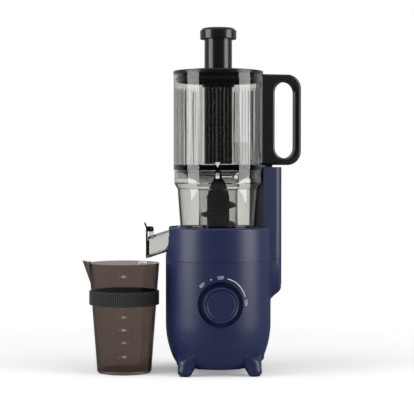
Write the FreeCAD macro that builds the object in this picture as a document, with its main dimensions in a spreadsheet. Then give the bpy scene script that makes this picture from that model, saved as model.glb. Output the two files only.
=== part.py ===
# Cold press juicer with a separate juice cup, in millimetres.
# Every piece is shaped around the juicer's own upright axis, with z = 0 on the table. Its placement then
# carries it to the row's origin, which is the middle of the whole group's footprint.
import FreeCAD, Part
import math
import os
from FreeCAD import Placement, Rotation, Vector
import Sketcher

os.makedirs("parts", exist_ok=True)
doc = FreeCAD.newDocument("ColdPressJuicer")
sheet = doc.addObject("Spreadsheet::Sheet", "Sizes")
nodes = []

# Sizes


class Size:
    """A number with the sheet formula that it comes from."""

    def __init__(self, value, formula):
        self.value = float(value)
        self.formula = formula

    def __float__(self):
        return self.value

    def __add__(self, other):
        return join(self, "+", other)

    def __radd__(self, other):
        return join(other, "+", self)

    def __sub__(self, other):
        return join(self, "-", other)

    def __rsub__(self, other):
        return join(other, "-", self)

    def __mul__(self, other):
        return join(self, "*", other)

    def __rmul__(self, other):
        return join(other, "*", self)

    def __truediv__(self, other):
        return join(self, "/", other)

    def __neg__(self):
        return join(0, "-", self)


def join(left, sign, right):
    left_value = float(left)
    right_value = float(right)
    results = {
        "+": left_value + right_value,
        "-": left_value - right_value,
        "*": left_value * right_value,
        "/": left_value / right_value if right_value else 0.0,
    }
    return Size(results[sign], "(%s %s %s)" % (text_of(left), sign, text_of(right)))


def text_of(number):
    return number.formula if isinstance(number, Size) else repr(float(number))


def size(word, value, note):
    """Writes one dimension to the sheet, as a number or as a formula of earlier ones, and gives it back."""
    size.row += 1
    row = str(size.row)
    sheet.set("A" + row, note)
    sheet.set("B" + row, "=" + value.formula.replace("Sizes.", "") if isinstance(value, Size) else str(value))
    sheet.setAlias("B" + row, word)
    return Size(value, "Sizes." + word)


size.row = 0

axis_x = size("axis_x", 35.3, "juicer axis from the middle of the footprint, across")
axis_y = size("axis_y", 6.5, "juicer axis from the middle of the footprint, back")
gap = size("gap", 0.3, "gap between pieces that move or lift apart")
fit = size("fit", 0.05, "radial running fit of a shaft in its bearing")
wall = size("wall", 3.0, "wall of the moulded housings")

housing_r = size("housing_r", 73.0, "motor housing radius")
belly_z = size("belly_z", 8.0, "flat belly above the table")
belly_r = size("belly_r", housing_r - 30.0, "radius of the flat belly")
belly_top = size("belly_top", 70.0, "height where the belly's curve starts")
belly_bend = size("belly_bend", 22.0, "small radius of the belly's curve")
seam_z = size("seam_z", 156.5, "seam between the two housings")
collar_z = size("collar_z", seam_z + 45.5, "top of the collar")
collar_r = size("collar_r", housing_r - 1.2, "radius of the collar at its top")
collar_round = size("collar_round", 3.0, "rounding of the collar's rim")
recess_r = size("recess_r", housing_r - 17.5, "radius of the recess that takes the bowl")
deck_z = size("deck_z", seam_z + 3.5, "floor of the recess")
notch_w = size("notch_w", 44.0, "width of the spout's notch")
notch_z = size("notch_z", deck_z + 5.0, "bottom of the spout's notch")
notch_round = size("notch_round", 15.0, "corner radius of the spout's notch")
rear_notch_w = size("rear_notch_w", 34.0, "width of the pulp outlet's notch")

hopper_r = size("hopper_r", housing_r - 11.0, "hopper radius")
bowl_ring_r = size("bowl_ring_r", hopper_r - 1.0, "bowl ring radius")
bowl_neck_r = size("bowl_neck_r", bowl_ring_r - 4.4, "bowl radius under its ring")
bowl_ring_z = size("bowl_ring_z", collar_z + 60.0, "underside of the bowl's ring")
bowl_top = size("bowl_top", bowl_ring_z + 18.5, "top of the bowl")

column_turn = size("column_turn", 14.0, "turn of the column and handle behind the side, degrees")
column_reach = size("column_reach", housing_r + 14.4, "outer face of the column from the axis")
column_half = size("column_half", 26.0, "half the width of the column")
column_round = size("column_round", 12.0, "corner radius of the column")
column_z = size("column_z", bowl_top + 4.3, "top of the column")
column_low = size("column_low", seam_z - 51.5, "height where the column leaves the body")
column_swell = size("column_swell", 22.0, "height over which the column grows out of the body")
column_clear = size("column_clear", hopper_r + 1.2, "radius of the column's hollow front face")

leg_spread = size("leg_spread", housing_r - 5.9, "foot centres from the axis")
leg_foot = size("leg_foot", 10.0, "radius of a leg at its foot")
leg_root = size("leg_root", 21.0, "radius of a leg inside the belly")
leg_top = size("leg_top", 44.0, "height of a leg's root")
leg_in = size("leg_in", 15.0, "lean of a leg towards the axis")
pad_r = size("pad_r", leg_foot - 2.5, "foot pad radius")
pad_z = size("pad_z", 2.4, "foot pad height below the leg")

dial_z = size("dial_z", 100.0, "height of the dial")
knob_r = size("knob_r", 24.4, "knob radius")
dial_recess = size("dial_recess", knob_r + 6.2, "outer radius of the dial's dished ring")
knob_gap = size("knob_gap", 2.0, "shadow gap round the knob")
knob_reach = size("knob_reach", housing_r + 12.5, "front face of the knob from the axis")
dial_floor = size("dial_floor", housing_r - 10.5, "back of the dial's ring from the axis")
spindle_r = size("spindle_r", 3.0, "radius of the switch spindle")

bowl_neck_z = size("bowl_neck_z", bowl_ring_z - 7.5, "height of the bowl under its ring")
bowl_low_r = size("bowl_low_r", recess_r - 4.1, "bowl radius at its foot")
bowl_wall = size("bowl_wall", 2.4, "wall of the bowl")
bowl_floor = size("bowl_floor", deck_z + 11.0, "floor inside the bowl")

shaft_r = size("shaft_r", 7.0, "output shaft radius")
hex_flat = size("hex_flat", shaft_r + 3.5, "output shaft, across the flats of its hexagon")
hub_r = size("hub_r", shaft_r + 2.0, "hole in the bowl's floor")
auger_r = size("auger_r", 24.4, "auger radius over its flights")
auger_core = size("auger_core", auger_r - 8.8, "auger core radius")
strainer_r = size("strainer_r", auger_r + 2.6, "strainer radius")

spout_reach = size("spout_reach", housing_r + 24.6, "mouth of the spout from the axis")
spout_z = size("spout_z", bowl_floor + 2.5, "middle of the spout's mouth")
spout_w = size("spout_w", notch_w - 8.0, "width of the spout")
spout_h = size("spout_deep", 27.6, "height of the spout across its own axis")
spout_round = size("spout_round", 10.0, "corner radius of the spout")
spout_tilt = size("spout_tilt", 18.0, "fall of the spout, degrees")
flap_t = size("flap_t", 2.6, "thickness of the spout's flap")
flap_pin_r = size("flap_pin_r", 1.6, "radius of the flap's pin")
flap_pin_z = size("flap_pin_z", spout_z + 25.5, "height of the flap's pin")
flap_pin_x = size("flap_pin_x", spout_reach - 4.6, "flap's pin from the axis")

hopper_wall = size("hopper_wall", 2.8, "hopper wall")
hopper_top = size("hopper_top", bowl_top + 132.3, "top of the hopper")
rib_low = size("rib_low", bowl_top + 7.5, "bottom of the hopper's inner ribs")
rib_high = size("rib_high", hopper_top - 20.8, "top of the hopper's inner ribs")
rib_count = size("rib_count", 72, "inner ribs of the hopper")
rib_deep = size("rib_deep", 1.1, "depth of an inner rib")
skirt_low = size("skirt_low", bowl_top - 12.0, "bottom of the hopper's skirt in the bowl")
neck_r = size("neck_r", strainer_r + 2.5, "radius of the funnel's neck")
neck_low = size("neck_low", bowl_top - 22.0, "bottom of the funnel's neck")

strainer_top = size("strainer_top", neck_low - 2.5, "top of the strainer")
strainer_wall = size("strainer_wall", 1.6, "strainer wall")
auger_tip = size("auger_tip", neck_low + 28.5, "tip of the auger")

lid_r = size("lid_r", hopper_r + gap, "lid radius")
lid_low = size("lid_low", hopper_top + gap, "underside of the lid's rim")
lid_edge = size("lid_edge", lid_low + 4.5, "top of the lid's rim")
lid_top = size("lid_top", lid_edge + 3.4, "top of the lid at the pusher")
lid_skirt_r = size("lid_skirt_r", hopper_r - hopper_wall - 1.8, "radius of the lid's skirt")
lid_skirt = size("lid_skirt", lid_low - 11.5, "bottom of the lid's skirt")
pusher_r = size("pusher_r", 19.15, "pusher radius")
pusher_low = size("pusher_low", rib_low + 1.0, "foot of the pusher")
pusher_head = size("pusher_head", pusher_r + 6.05, "pusher head radius")
pusher_neck = size("pusher_neck", lid_top + 40.5, "underside of the pusher's head")
pusher_top = size("pusher_top", pusher_neck + 15.5, "top of the pusher")

handle_reach = size("handle_reach", hopper_r + 58.0, "outer edge of the handle from the axis")
handle_root = size("handle_root", hopper_r + 18.8, "inner edge of the finger slot from the axis")
handle_bar = size("handle_bar", 8.6, "width of the handle's outer bar")
handle_t = size("handle_t", 17.0, "thickness of the handle")
handle_top = size("handle_top", hopper_top + 1.7, "top of the handle")
handle_low = size("handle_low", column_z + 2.7, "bottom of the handle")
slot_low = size("slot_low", handle_low + 9.5, "bottom of the finger slot")
slot_high = size("slot_high", handle_top - 10.5, "top of the finger slot")
lug_deep = size("lug_deep", 8.0, "depth of the handle's lug in the column")
twist = size("twist", 23.0, "turn of the hopper from locked to open, degrees")

cup_low_r = size("cup_low_r", 37.7, "cup radius at its foot")
cup_top_r = size("cup_top_r", 48.8, "cup radius at its rim")
cup_x = size("cup_x", -(housing_r + cup_top_r + 8.9), "cup axis from the juicer axis")
cup_z = size("cup_z", spout_z - 21.5, "height of the cup's rim")
cup_wall = size("cup_wall", 2.0, "cup wall")
lip_reach = size("lip_reach", cup_top_r + 10.1, "pour lip from the cup axis")
lip_z = size("lip_z", cup_z + 3.5, "height of the pour lip")
lip_r = size("lip_r", 11.0, "radius of the pour lip at its tip")
lip_low = size("lip_low", cup_z - 32.0, "height where the lip leaves the cup's wall")
band_low = size("band_low", cup_z - 58.0, "bottom of the cup's band")
band_z = size("band_z", band_low + 20.0, "top of the cup's band")
band_r = size("band_r", cup_top_r - gap, "radius of the cup's band")

gear_module = size("gear_module", 1.0, "module of the gears")
pinion_teeth = size("pinion_teeth", 12, "teeth of each pinion")
wheel_teeth = size("wheel_teeth", 54, "teeth of each gear wheel")
motor_r = size("motor_r", 32.0, "motor can radius")
motor_low = size("motor_low", 24.0, "bottom of the motor can")
motor_high = size("motor_high", 86.0, "top of the motor can")
motor_shaft_r = size("motor_shaft_r", 3.0, "motor shaft radius")
case_low = size("case_low", motor_high + gap, "underside of the gearbox case")
cover_z = size("cover_z", case_low + 34.7, "underside of the gearbox cover")
post_r = size("post_r", housing_r - 21.0, "gearbox screws from the axis")
post_z = size("post_z", cover_z - 3.5, "top of the posts that carry the gearbox")
screw_r = size("screw_r", 1.5, "radius of the small screws")

gland_turn = 33.0
gland_z = size("gland_z", 17.0, "height of the cable's gland")
gland_r = size("gland_r", 4.5, "radius of the gland's hole")
gland_face = size("gland_face", housing_r + 1.5, "face of the gland's boss from the axis")
boss_r = size("boss_r", gland_r + 4.0, "radius of the gland's boss")
cover_t = size("cover_t", 2.4, "thickness of the bottom cover")
cover_r = size("cover_r", belly_r - 3.3, "radius of the bottom cover")
ledge_r = size("ledge_r", belly_r - 7.5, "inner radius of the ledge over the bottom cover")
ledge_z = size("ledge_z", belly_z + cover_t + gap, "underside of that ledge")
screw_ring = size("screw_ring", belly_r - 5.4, "bottom screws from the axis")
pulp_half = size("pulp_half", 10.6, "half the width of the pulp outlet")
pulp_high = size("pulp_high", 23.6, "height of the pulp outlet")
pulp_wall = size("pulp_wall", 2.4, "wall of the pulp outlet")
pulp_reach = size("pulp_reach", housing_r - 7.0, "mouth of the pulp outlet from the axis")
groove_in = size("groove_in", column_clear + 3.3, "inner radius of the column's groove")
groove_out = size("groove_out", groove_in + 12.0, "outer radius of the column's groove")
groove_floor = size("groove_floor", column_z - lug_deep - 1.0, "floor of the column's groove")
lug_half = size("lug_half", 5.5, "half the width of the handle's lug")
lug_r = size("lug_r", groove_in + 5.9, "middle of the handle's lug from the axis")
hex_low = size("hex_low", bowl_floor - 0.5, "foot of the shaft's hexagon")
hex_high = size("hex_high", bowl_floor + 34.0, "top of the shaft's hexagon")
auger_low = size("auger_low", bowl_floor + 2.9, "foot of the auger")
flight_pitch = size("flight_pitch", 27.0, "rise of the auger's flight in one turn")
cup_foot = size("cup_foot", 2.5, "height where the cup's taper starts")
handle_bend = size("handle_bend", 20.0, "outer corner radius of the handle")
handle_round = size("handle_round", 3.4, "rounding of the handle's edges")
switch_half = size("switch_half", 13.0, "half the width of the rotary switch")
arm_half = size("arm_half", 5.5, "half width of a gearbox arm")
flap_half_z = size("flap_high", 19.8, "half the flap's height")
bearing_r = size("bearing_r", 8.0, "seat radius of the motor's bearings")
doc.recompute()

# Building tools


def bind(thing, prop, number):
    """Ties one property to the sheet, or sets a plain number."""
    if isinstance(number, Size):
        thing.setExpression(prop, number.formula)
    else:
        setattr(thing, prop, number)


def place(thing, x=0, y=0, z=0):
    """Carries a piece from the juicer's axis to the row's origin."""
    thing.setExpression("Placement.Base.x", (axis_x + x).formula)
    thing.setExpression("Placement.Base.y", (axis_y + y).formula)
    if isinstance(z, Size) or z:
        thing.setExpression("Placement.Base.z", text_of(z))


def node(thing, label, x=0, y=0, z=0):
    """Names a finished piece and puts it in its place."""
    thing.Label = label
    place(thing, x, y, z)
    nodes.append(thing)
    return thing


def body_named(name):
    return doc.addObject("PartDesign::Body", name)


def plane_of(body, role):
    return [plane for plane in body.Origin.OriginFeatures if plane.Role == role][0]


def attach(body, sketch, role, offset=0, rotation=None):
    sketch.AttachmentSupport = [(plane_of(body, role), "")]
    sketch.MapMode = "FlatFace"
    if rotation:
        sketch.AttachmentOffset = Placement(Vector(0, 0, float(offset)), rotation)
    if isinstance(offset, Size):
        sketch.setExpression("AttachmentOffset.Base.z", offset.formula)
    else:
        sketch.AttachmentOffset = Placement(Vector(0, 0, offset), rotation or Rotation())


def pin_point(sketch, geometry, end, u, v):
    """Holds one end of an edge at its distances from the sketch's origin."""
    for kind, number, line in (("DistanceX", u, -2), ("DistanceY", v, -1)):
        if abs(float(number)) < 1e-9:
            sketch.addConstraint(Sketcher.Constraint("PointOnObject", geometry, end, line))
            continue
        index = sketch.addConstraint(Sketcher.Constraint(kind, -1, 1, geometry, end, float(number)))
        if isinstance(number, Size):
            sketch.setExpression("Constraints[%d]" % index, number.formula)


def outline(sketch, path):
    """Draws a closed outline. An entry is a corner (u, v), or (u, v, mid) where an arc goes through mid."""
    ends = []
    for here, after in zip(path, path[1:] + path[:1]):
        start = Vector(float(here[0]), float(here[1]), 0)
        stop = Vector(float(after[0]), float(after[1]), 0)
        if len(here) == 3:
            middle = Vector(float(here[2][0]), float(here[2][1]), 0)
            index = sketch.addGeometry(Part.Arc(start, middle, stop), False)
            forward = (sketch.Geometry[index].StartPoint - start).Length < 1e-6
        else:
            index = sketch.addGeometry(Part.LineSegment(start, stop), False)
            forward = True
        ends.append((index, 1 if forward else 2, 2 if forward else 1))
    for (edge, _, last), (following, first, _) in zip(ends, ends[1:] + ends[:1]):
        sketch.addConstraint(Sketcher.Constraint("Coincident", edge, last, following, first))
    for (edge, first, _), here in zip(ends, path):
        pin_point(sketch, edge, first, here[0], here[1])


def circle(sketch, u, v, radius):
    index = sketch.addGeometry(Part.Circle(Vector(float(u), float(v), 0), Vector(0, 0, 1), float(radius)), False)
    pin_point(sketch, index, 3, u, v)
    rule = sketch.addConstraint(Sketcher.Constraint("Radius", index, float(radius)))
    if isinstance(radius, Size):
        sketch.setExpression("Constraints[%d]" % rule, radius.formula)


def sketch_on(body, role, paths=(), circles=(), offset=0, rotation=None):
    sketch = body.newObject("Sketcher::SketchObject", "Sketch")
    attach(body, sketch, role, offset, rotation)
    for path in paths:
        outline(sketch, list(path))
    for u, v, radius in circles:
        circle(sketch, u, v, radius)
    return sketch


def turned(body, path, groove=False, axis="V_Axis"):
    """Revolves an outline drawn in radius and height, or cuts it away."""
    sketch = sketch_on(body, "XZ_Plane", [path])
    feature = body.newObject("PartDesign::Groove" if groove else "PartDesign::Revolution", "Turn")
    feature.Profile = sketch
    feature.ReferenceAxis = (sketch, [axis])
    feature.Angle = 360
    return feature


def padded(body, sketch, length, both=False, back=False):
    feature = body.newObject("PartDesign::Pad", "Pad")
    feature.Profile = sketch
    bind(feature, "Length", length)
    feature.Midplane = both
    feature.Reversed = back
    return feature


def pocketed(body, sketch, length, both=False, back=False):
    feature = body.newObject("PartDesign::Pocket", "Pocket")
    feature.Profile = sketch
    bind(feature, "Length", length)
    feature.Midplane = both
    feature.Reversed = back
    return feature


def repeated(body, feature, count, sketch, angle=360):
    pattern = body.newObject("PartDesign::PolarPattern", "Round")
    pattern.Originals = [feature]
    pattern.Axis = (sketch, ["N_Axis"])
    pattern.Angle = angle
    pattern.Occurrences = int(float(count))
    body.Tip = pattern
    return pattern


def rounded(body, radius, wanted):
    """Rounds the edges of the last feature for which wanted(edge) is true."""
    doc.recompute()
    base = body.Tip
    names = ["Edge%d" % (i + 1) for i, edge in enumerate(base.Shape.Edges) if wanted(edge)]
    feature = body.newObject("PartDesign::Fillet", "Rounding")
    feature.Base = (base, names)
    bind(feature, "Radius", radius)
    return feature


def ring_path(inner, outer, low, high):
    return [(inner, low), (outer, low), (outer, high), (inner, high)]


def slab(half_u, half_v, corner):
    """A rounded rectangle about the sketch's origin."""
    bend = corner * (1 - math.sqrt(0.5))
    u = half_u
    v = half_v
    return [
        (u - corner, -v, (u - bend, bend - v)),
        (u, corner - v),
        (u, v - corner, (u - bend, v - bend)),
        (u - corner, v),
        (corner - u, v, (bend - u, v - bend)),
        (-u, v - corner),
        (-u, corner - v, (bend - u, bend - v)),
        (corner - u, -v),
    ]


def turned_node(label, path, x=0, y=0, z=0):
    body = body_named(label)
    turned(body, path)
    return node(body, label, x, y, z)


def cylinder(name, radius, height, base, direction=Vector(0, 0, 1)):
    """A round tool or pin from a base point of Sizes along a direction."""
    thing = doc.addObject("Part::Cylinder", name)
    bind(thing, "Radius", radius)
    bind(thing, "Height", height)
    set_base(thing, base, Rotation(Vector(0, 0, 1), direction))
    return thing


def set_base(thing, base, rotation=Rotation()):
    thing.Placement = Placement(Vector(*[float(number) for number in base]), rotation)
    for letter, number in zip("xyz", base):
        if isinstance(number, Size):
            thing.setExpression("Placement.Base." + letter, number.formula)


def box(name, length, width, height, base, rotation=Rotation()):
    thing = doc.addObject("Part::Box", name)
    bind(thing, "Length", length)
    bind(thing, "Width", width)
    bind(thing, "Height", height)
    set_base(thing, base, rotation)
    return thing


def joined(name, *things):
    thing = doc.addObject("Part::MultiFuse", name)
    thing.Shapes = list(things)
    return thing


def less(name, base, tool):
    thing = doc.addObject("Part::Cut", name)
    thing.Base = base
    thing.Tool = tool
    return thing


def shared(name, *things):
    thing = doc.addObject("Part::MultiCommon", name)
    thing.Shapes = list(things)
    return thing


def turned_tool(name, path):
    body = body_named(name)
    turned(body, path)
    return body


def around(angle, radius):
    """A point at a radius and an angle in degrees about the axis."""
    return radius * math.cos(math.radians(float(angle))), radius * math.sin(math.radians(float(angle)))


def shaped(label, shape, x=0, y=0, z=0):
    """Keeps a free-form solid as a piece."""
    thing = doc.addObject("Part::Feature", label)
    thing.Shape = shape
    return node(thing, label, x, y, z)


QUARTER = [45, 135, 225, 315]


def quarter_points(radius):
    """Four points at 45 degrees to the row's axes."""
    return [around(angle, radius) for angle in QUARTER]


# Housings


def belly_path(inset):
    """Half section of the lower housing's skin, its belly made of two arcs that meet smoothly."""
    side = housing_r - inset
    flat = belly_r
    low = belly_z + inset
    small = belly_bend - inset
    across = side - flat
    up = belly_top - low
    large = (across * across + (up - small) * (up - small) - small * small) / ((across - small) * 2)
    span = large - small
    meet_r = side - large + large * (large - across) / span
    meet_z = belly_top - large * (up - small) / span
    half_side = math.atan2(float(up - small), float(large - across)) / 2
    side_mid = (side - large + large * math.cos(half_side), belly_top - large * math.sin(half_side))
    half_low = (math.pi / 2 + 2 * half_side) / 2
    low_mid = (flat + small * math.cos(half_low), low + small - small * math.sin(half_low))
    return side, flat, low, (meet_r, meet_z), side_mid, low_mid


def skin(name, inset, top):
    """The solid inside one surface of the lower housing."""
    side, flat, low, meet, side_mid, low_mid = belly_path(inset)
    path = [
        (0, low),
        (flat, low, low_mid),
        (meet[0], meet[1], side_mid),
        (side, belly_top),
        (side, top),
        (0, top),
    ]
    return turned_tool(name, path)


def column_section(inset):
    """Half-round-cornered section of the column in radius and width."""
    reach = column_reach - inset
    half = column_half - inset
    corner = column_round - inset
    bend = corner * (1 - math.sqrt(0.5))
    near = column_clear + inset - 22.0
    return [
        (near, -half),
        (reach - corner, -half, (reach - bend, bend - half)),
        (reach, corner - half),
        (reach, half - corner, (reach - bend, half - bend)),
        (reach - corner, half),
        (near, half),
    ]


def column(name, inset, low, high):
    """A length of the column, turned behind the juicer's side."""
    body = body_named(name)
    padded(body, sketch_on(body, "XY_Plane", [column_section(inset)], offset=low), high - low)
    body.Placement = Placement(Vector(), Rotation(Vector(0, 0, 1), float(column_turn)))
    return body


def column_foot(inset):
    """The column's lower end, which flows out of the round body in an S."""
    low = column_low + inset
    high = column_low + column_swell + inset
    far = column_reach - inset
    near = housing_r - 16
    side = body_named("ColumnSide")
    middle = (low + high) / 2
    third = (far - housing_r) / 2
    path = [
        (near, low - 6.0),
        (housing_r - inset - 0.6, low, (housing_r + third * 0.25 - inset, low + (middle - low) * 0.55)),
        (housing_r + third - inset, middle, (far - third * 0.2, high - (high - middle) * 0.5)),
        (far, high + 2.0),
        (far, seam_z),
        (near, seam_z),
    ]
    padded(side, sketch_on(side, "XZ_Plane", [path]), column_half * 2, both=True)
    side.Placement = Placement(Vector(), Rotation(Vector(0, 0, 1), float(column_turn)))
    return shared("ColumnFoot", side, column("ColumnBlock", inset, column_low - 8, seam_z))


def leg(angle):
    """A stub leg, a leaning cone with a rounded foot."""
    spread = leg_spread
    foot = Vector(spread.value, 0, leg_foot.value * 0.45 + pad_z.value)
    root = Vector(spread.value - leg_in.value, 0, leg_top.value)
    direction = root - foot
    cone = Part.makeCone(leg_foot.value, leg_root.value, direction.Length, foot, direction)
    ball = Part.makeSphere(leg_foot.value * 1.003, foot)
    sole = Part.makeBox(60, 60, 30, Vector(spread.value - 30, -30, pad_z.value - 30))
    shape = cone.fuse(ball).cut(sole)
    shape.rotate(Vector(), Vector(0, 0, 1), angle)
    return shape


def legs():
    thing = doc.addObject("Part::Feature", "Legs")
    shapes = [leg(angle) for angle in QUARTER]
    thing.Shape = shapes[0].fuse(shapes[1:])
    return thing


def inlet_boss():
    """The moulded boss at the rear right that takes the cable's gland."""
    direction = Vector(*around(gland_turn, 1.0), 0)
    depth = 34.5
    return cylinder("InletBoss", boss_r, depth, (*around(gland_turn, gland_face - depth), gland_z), direction)


outer_skin = skin("OuterSkin", 0, seam_z)
inner_skin = skin("InnerSkin", wall, seam_z + 1)
outside = joined("LowerOutside", outer_skin, column_foot(0), legs(), inlet_boss())
column_bay = column("ColumnBay", wall, column_low + 24, seam_z + 1)
knob_hole = cylinder("DialHole", dial_recess + gap, 40, (0, 28.0 - housing_r, dial_z), Vector(0, -1, 0))
belly_hole = cylinder("BellyHole", belly_r - 3, 20, (0, 0, belly_z - 5))
gland_way = Vector(*around(gland_turn, 1.0), 0)
gland_hole = cylinder("GlandHole", gland_r + 0.1, 60, (*around(gland_turn, gland_face - 44.5), gland_z), gland_way)
hollow = joined("LowerHollow", inner_skin, column_bay, knob_hole, belly_hole, gland_hole)
lower_shell = less("LowerShell", outside, hollow)
ledge = turned_tool("CoverLedge", ring_path(ledge_r, belly_r, ledge_z, ledge_z + wall))

# Screw bosses stand on the curve of the belly inside, and a ledge under the dial carries its ring.
boss_tools = []
screw_holes = []
for boss_x, boss_y in quarter_points(post_r):
    boss_tools.append(cylinder("Post", 4.0, post_z - belly_z, (boss_x, boss_y, belly_z)))
    screw_holes.append(cylinder("PostHole", screw_r + 0.1, 12.0, (boss_x, boss_y, post_z - 10.0)))
for boss_x, boss_y in quarter_points(screw_ring):
    screw_holes.append(cylinder("LedgeHole", screw_r + 0.1, 12.0, (boss_x, boss_y, belly_z)))
dial_seat = less(
    "DialSeat",
    cylinder("DialSeatBlock", dial_recess + wall, 14, (0, 17.0 - housing_r, dial_z), Vector(0, -1, 0)),
    cylinder("DialSeatHole", dial_recess - 4, 30, (0, 23.0 - housing_r, dial_z), Vector(0, -1, 0)),
)
dial_pocket = cylinder("DialPocket", dial_recess + gap, 30, (0, gap - dial_floor, dial_z), Vector(0, -1, 0))
seat_ring = shared("SeatRing", less("SeatRingCut", dial_seat, dial_pocket), skin("SeatSkin", wall / 2, seam_z))
posts = shared("Posts", joined("PostBlocks", *boss_tools), skin("PostSkin", wall / 2, seam_z - 4))
lower_whole = joined("LowerWhole", lower_shell, seat_ring, posts, ledge)
node(less("LowerHousing", lower_whole, joined("ScrewHoles", *screw_holes)), "lower_housing")


def notch(name, angle, width, low, corner):
    """A notch with a round bottom in the collar, open at its top."""
    body = body_named(name)
    near = recess_r - 10.5
    half = width / 2
    bend = corner * (1 - math.sqrt(0.5))
    path = [
        (corner - half, low),
        (half - corner, low, (half - bend, low + bend)),
        (half, low + corner),
        (half, collar_z + 5),
        (-half, collar_z + 5),
        (-half, low + corner, (bend - half, low + bend)),
    ]
    padded(body, sketch_on(body, "YZ_Plane", [path], offset=near), housing_r - near + 12.0)
    body.Placement = Placement(Vector(), Rotation(Vector(0, 0, 1), angle))
    return body


upper_low = seam_z + gap
collar_path = [
    (0, upper_low),
    (housing_r, upper_low),
    (collar_r, collar_z - collar_round, (collar_r - 0.9, collar_z - 0.9)),
    (collar_r - collar_round, collar_z),
    (recess_r + 2, collar_z, (recess_r + 0.6, collar_z - 0.6)),
    (recess_r, collar_z - 2),
    (recess_r, deck_z),
    (0, deck_z),
]
lighten = [
    (recess_r + wall, upper_low - 1),
    (housing_r - wall, upper_low - 1),
    (collar_r - wall, collar_z - wall - 1),
    (recess_r + wall, collar_z - wall - 1),
]
column_front = cylinder("ColumnFront", column_clear, 200, (0, 0, collar_z - 1))
column_upper = column("ColumnUpper", 0, upper_low, column_z)
column_void = column("ColumnVoid", wall, upper_low - 1, column_z - wall)
void_shape = less("VoidBehind", column_void, cylinder("VoidFront", column_clear + wall, 200, (0, 0, collar_z - 30)))


def lug_groove():
    """The arc groove on the column's top for the handle's lug, open at its rear end."""
    start = column_turn.value - 7.5
    sweep = twist.value + 22.0
    floor = Vector(0, 0, groove_floor.value)
    ring = Part.makeCylinder(groove_out.value, 20, floor, Vector(0, 0, 1), sweep)
    shape = ring.cut(Part.makeCylinder(groove_in.value, 20, floor, Vector(0, 0, 1), sweep))
    shape.rotate(Vector(), Vector(0, 0, 1), start)
    return shape


groove = doc.addObject("Part::Feature", "LugGroove")
groove.Shape = lug_groove()
groove_wall = doc.addObject("Part::Feature", "GrooveWall")
groove_base = Vector(0, 0, groove_floor.value - 2.5)
groove_rim = Part.makeCylinder(groove_out.value + 2.0, lug_deep.value + 3.5, groove_base)
groove_wall.Shape = groove_rim.cut(Part.makeCylinder(column_clear.value, 40, Vector(0, 0, column_z.value - 30)))
groove_block = shared("GrooveBlock", groove_wall, column("GrooveColumn", wall / 2, column_z - 20, column_z - 1))
column_shell = joined("ColumnShell", less("ColumnWalls", column_upper, void_shape), groove_block)
column_outer = less("ColumnOuter", column_shell, column_front)
collar_body = body_named("Collar")
turned(collar_body, collar_path)
collar_shell = less("CollarShell", collar_body, turned_tool("CollarVoid", lighten))
upper_outside = joined("UpperOutside", collar_shell, column_outer)
recess_tool = cylinder("RecessTool", recess_r, 60, (0, 0, deck_z))
shaft_hole = cylinder("ShaftHole", shaft_r + 5.0, 20, (0, 0, deck_z - 12))
cuts = joined(
    "UpperCuts",
    recess_tool,
    shaft_hole,
    groove,
    notch("SpoutNotch", 180, notch_w, notch_z, notch_round),
    notch("PulpNotch", 90, rear_notch_w, notch_z, 8.0),
)
upper_cut = less("UpperCut", upper_outside, cuts)
node(upper_cut, "upper_housing")

bottom_cover = body_named("bottom_cover")
turned(bottom_cover, ring_path(0, cover_r, belly_z, belly_z + cover_t))
vent_in = 8.0
vent_out = belly_r - 21.0
vent_half = 1.2
vent = sketch_on(bottom_cover, "XY_Plane", [[
    (vent_in, -vent_half), (vent_out, -vent_half), (vent_out, vent_half), (vent_in, vent_half)]],
    offset=belly_z + cover_t)
repeated(bottom_cover, pocketed(bottom_cover, vent, 4.0), 12, vent)
cover_holes = sketch_on(
    bottom_cover, "XY_Plane", circles=[(*around(45, screw_ring), screw_r + 0.2)], offset=belly_z + cover_t)
repeated(bottom_cover, pocketed(bottom_cover, cover_holes, 4.0), 4, cover_holes)
node(bottom_cover, "bottom_cover")


def group(label, shapes):
    """Identical small pieces that share a node."""
    return shaped(label, Part.makeCompound(shapes))


def moved(shape, x, y, z=0.0):
    copy = shape.copy()
    copy.translate(Vector(float(x), float(y), float(z)))
    return copy


def rounded_disc(radius, height, bend):
    """A disc whose lower edge is rounded."""
    disc = Part.makeCylinder(radius, height)
    low = [edge for edge in disc.Edges if edge.BoundBox.ZMax < height / 10]
    return disc.makeFillet(bend, low)


pad_shape = rounded_disc(pad_r.value, pad_z.value, 0.8)
group("rubber_feet", [moved(pad_shape, x, y) for x, y in quarter_points(leg_spread.value)])

cover_screw = Part.makeCylinder(screw_r.value, 8.0, Vector(0, 0, -1.0)).fuse(
    Part.makeCone(2.3, 1.9, 1.5, Vector(0, 0, -0.05), Vector(0, 0, -1)))
group("bottom_screws", [moved(cover_screw, x, y, belly_z.value) for x, y in quarter_points(screw_ring)])


def lying(label, path, direction, x=0, y=0, z=0):
    """A turned piece whose axis runs outwards from the juicer's axis; its heights are distances from there."""
    body = body_named(label)
    turned(body, path)
    body.Placement = Placement(Vector(), Rotation(Vector(0, 0, 1), direction))
    return node(body, label, x, y, z)


lying("inlet_bush", [
    (2.6, gland_face - 14), (gland_r, gland_face - 14), (gland_r, gland_face + 0.2), (6.2, gland_face + 0.2),
    (5.6, gland_face + 2.0), (2.6, gland_face + 2.0)], gland_way, z=gland_z)

# Dial

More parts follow.
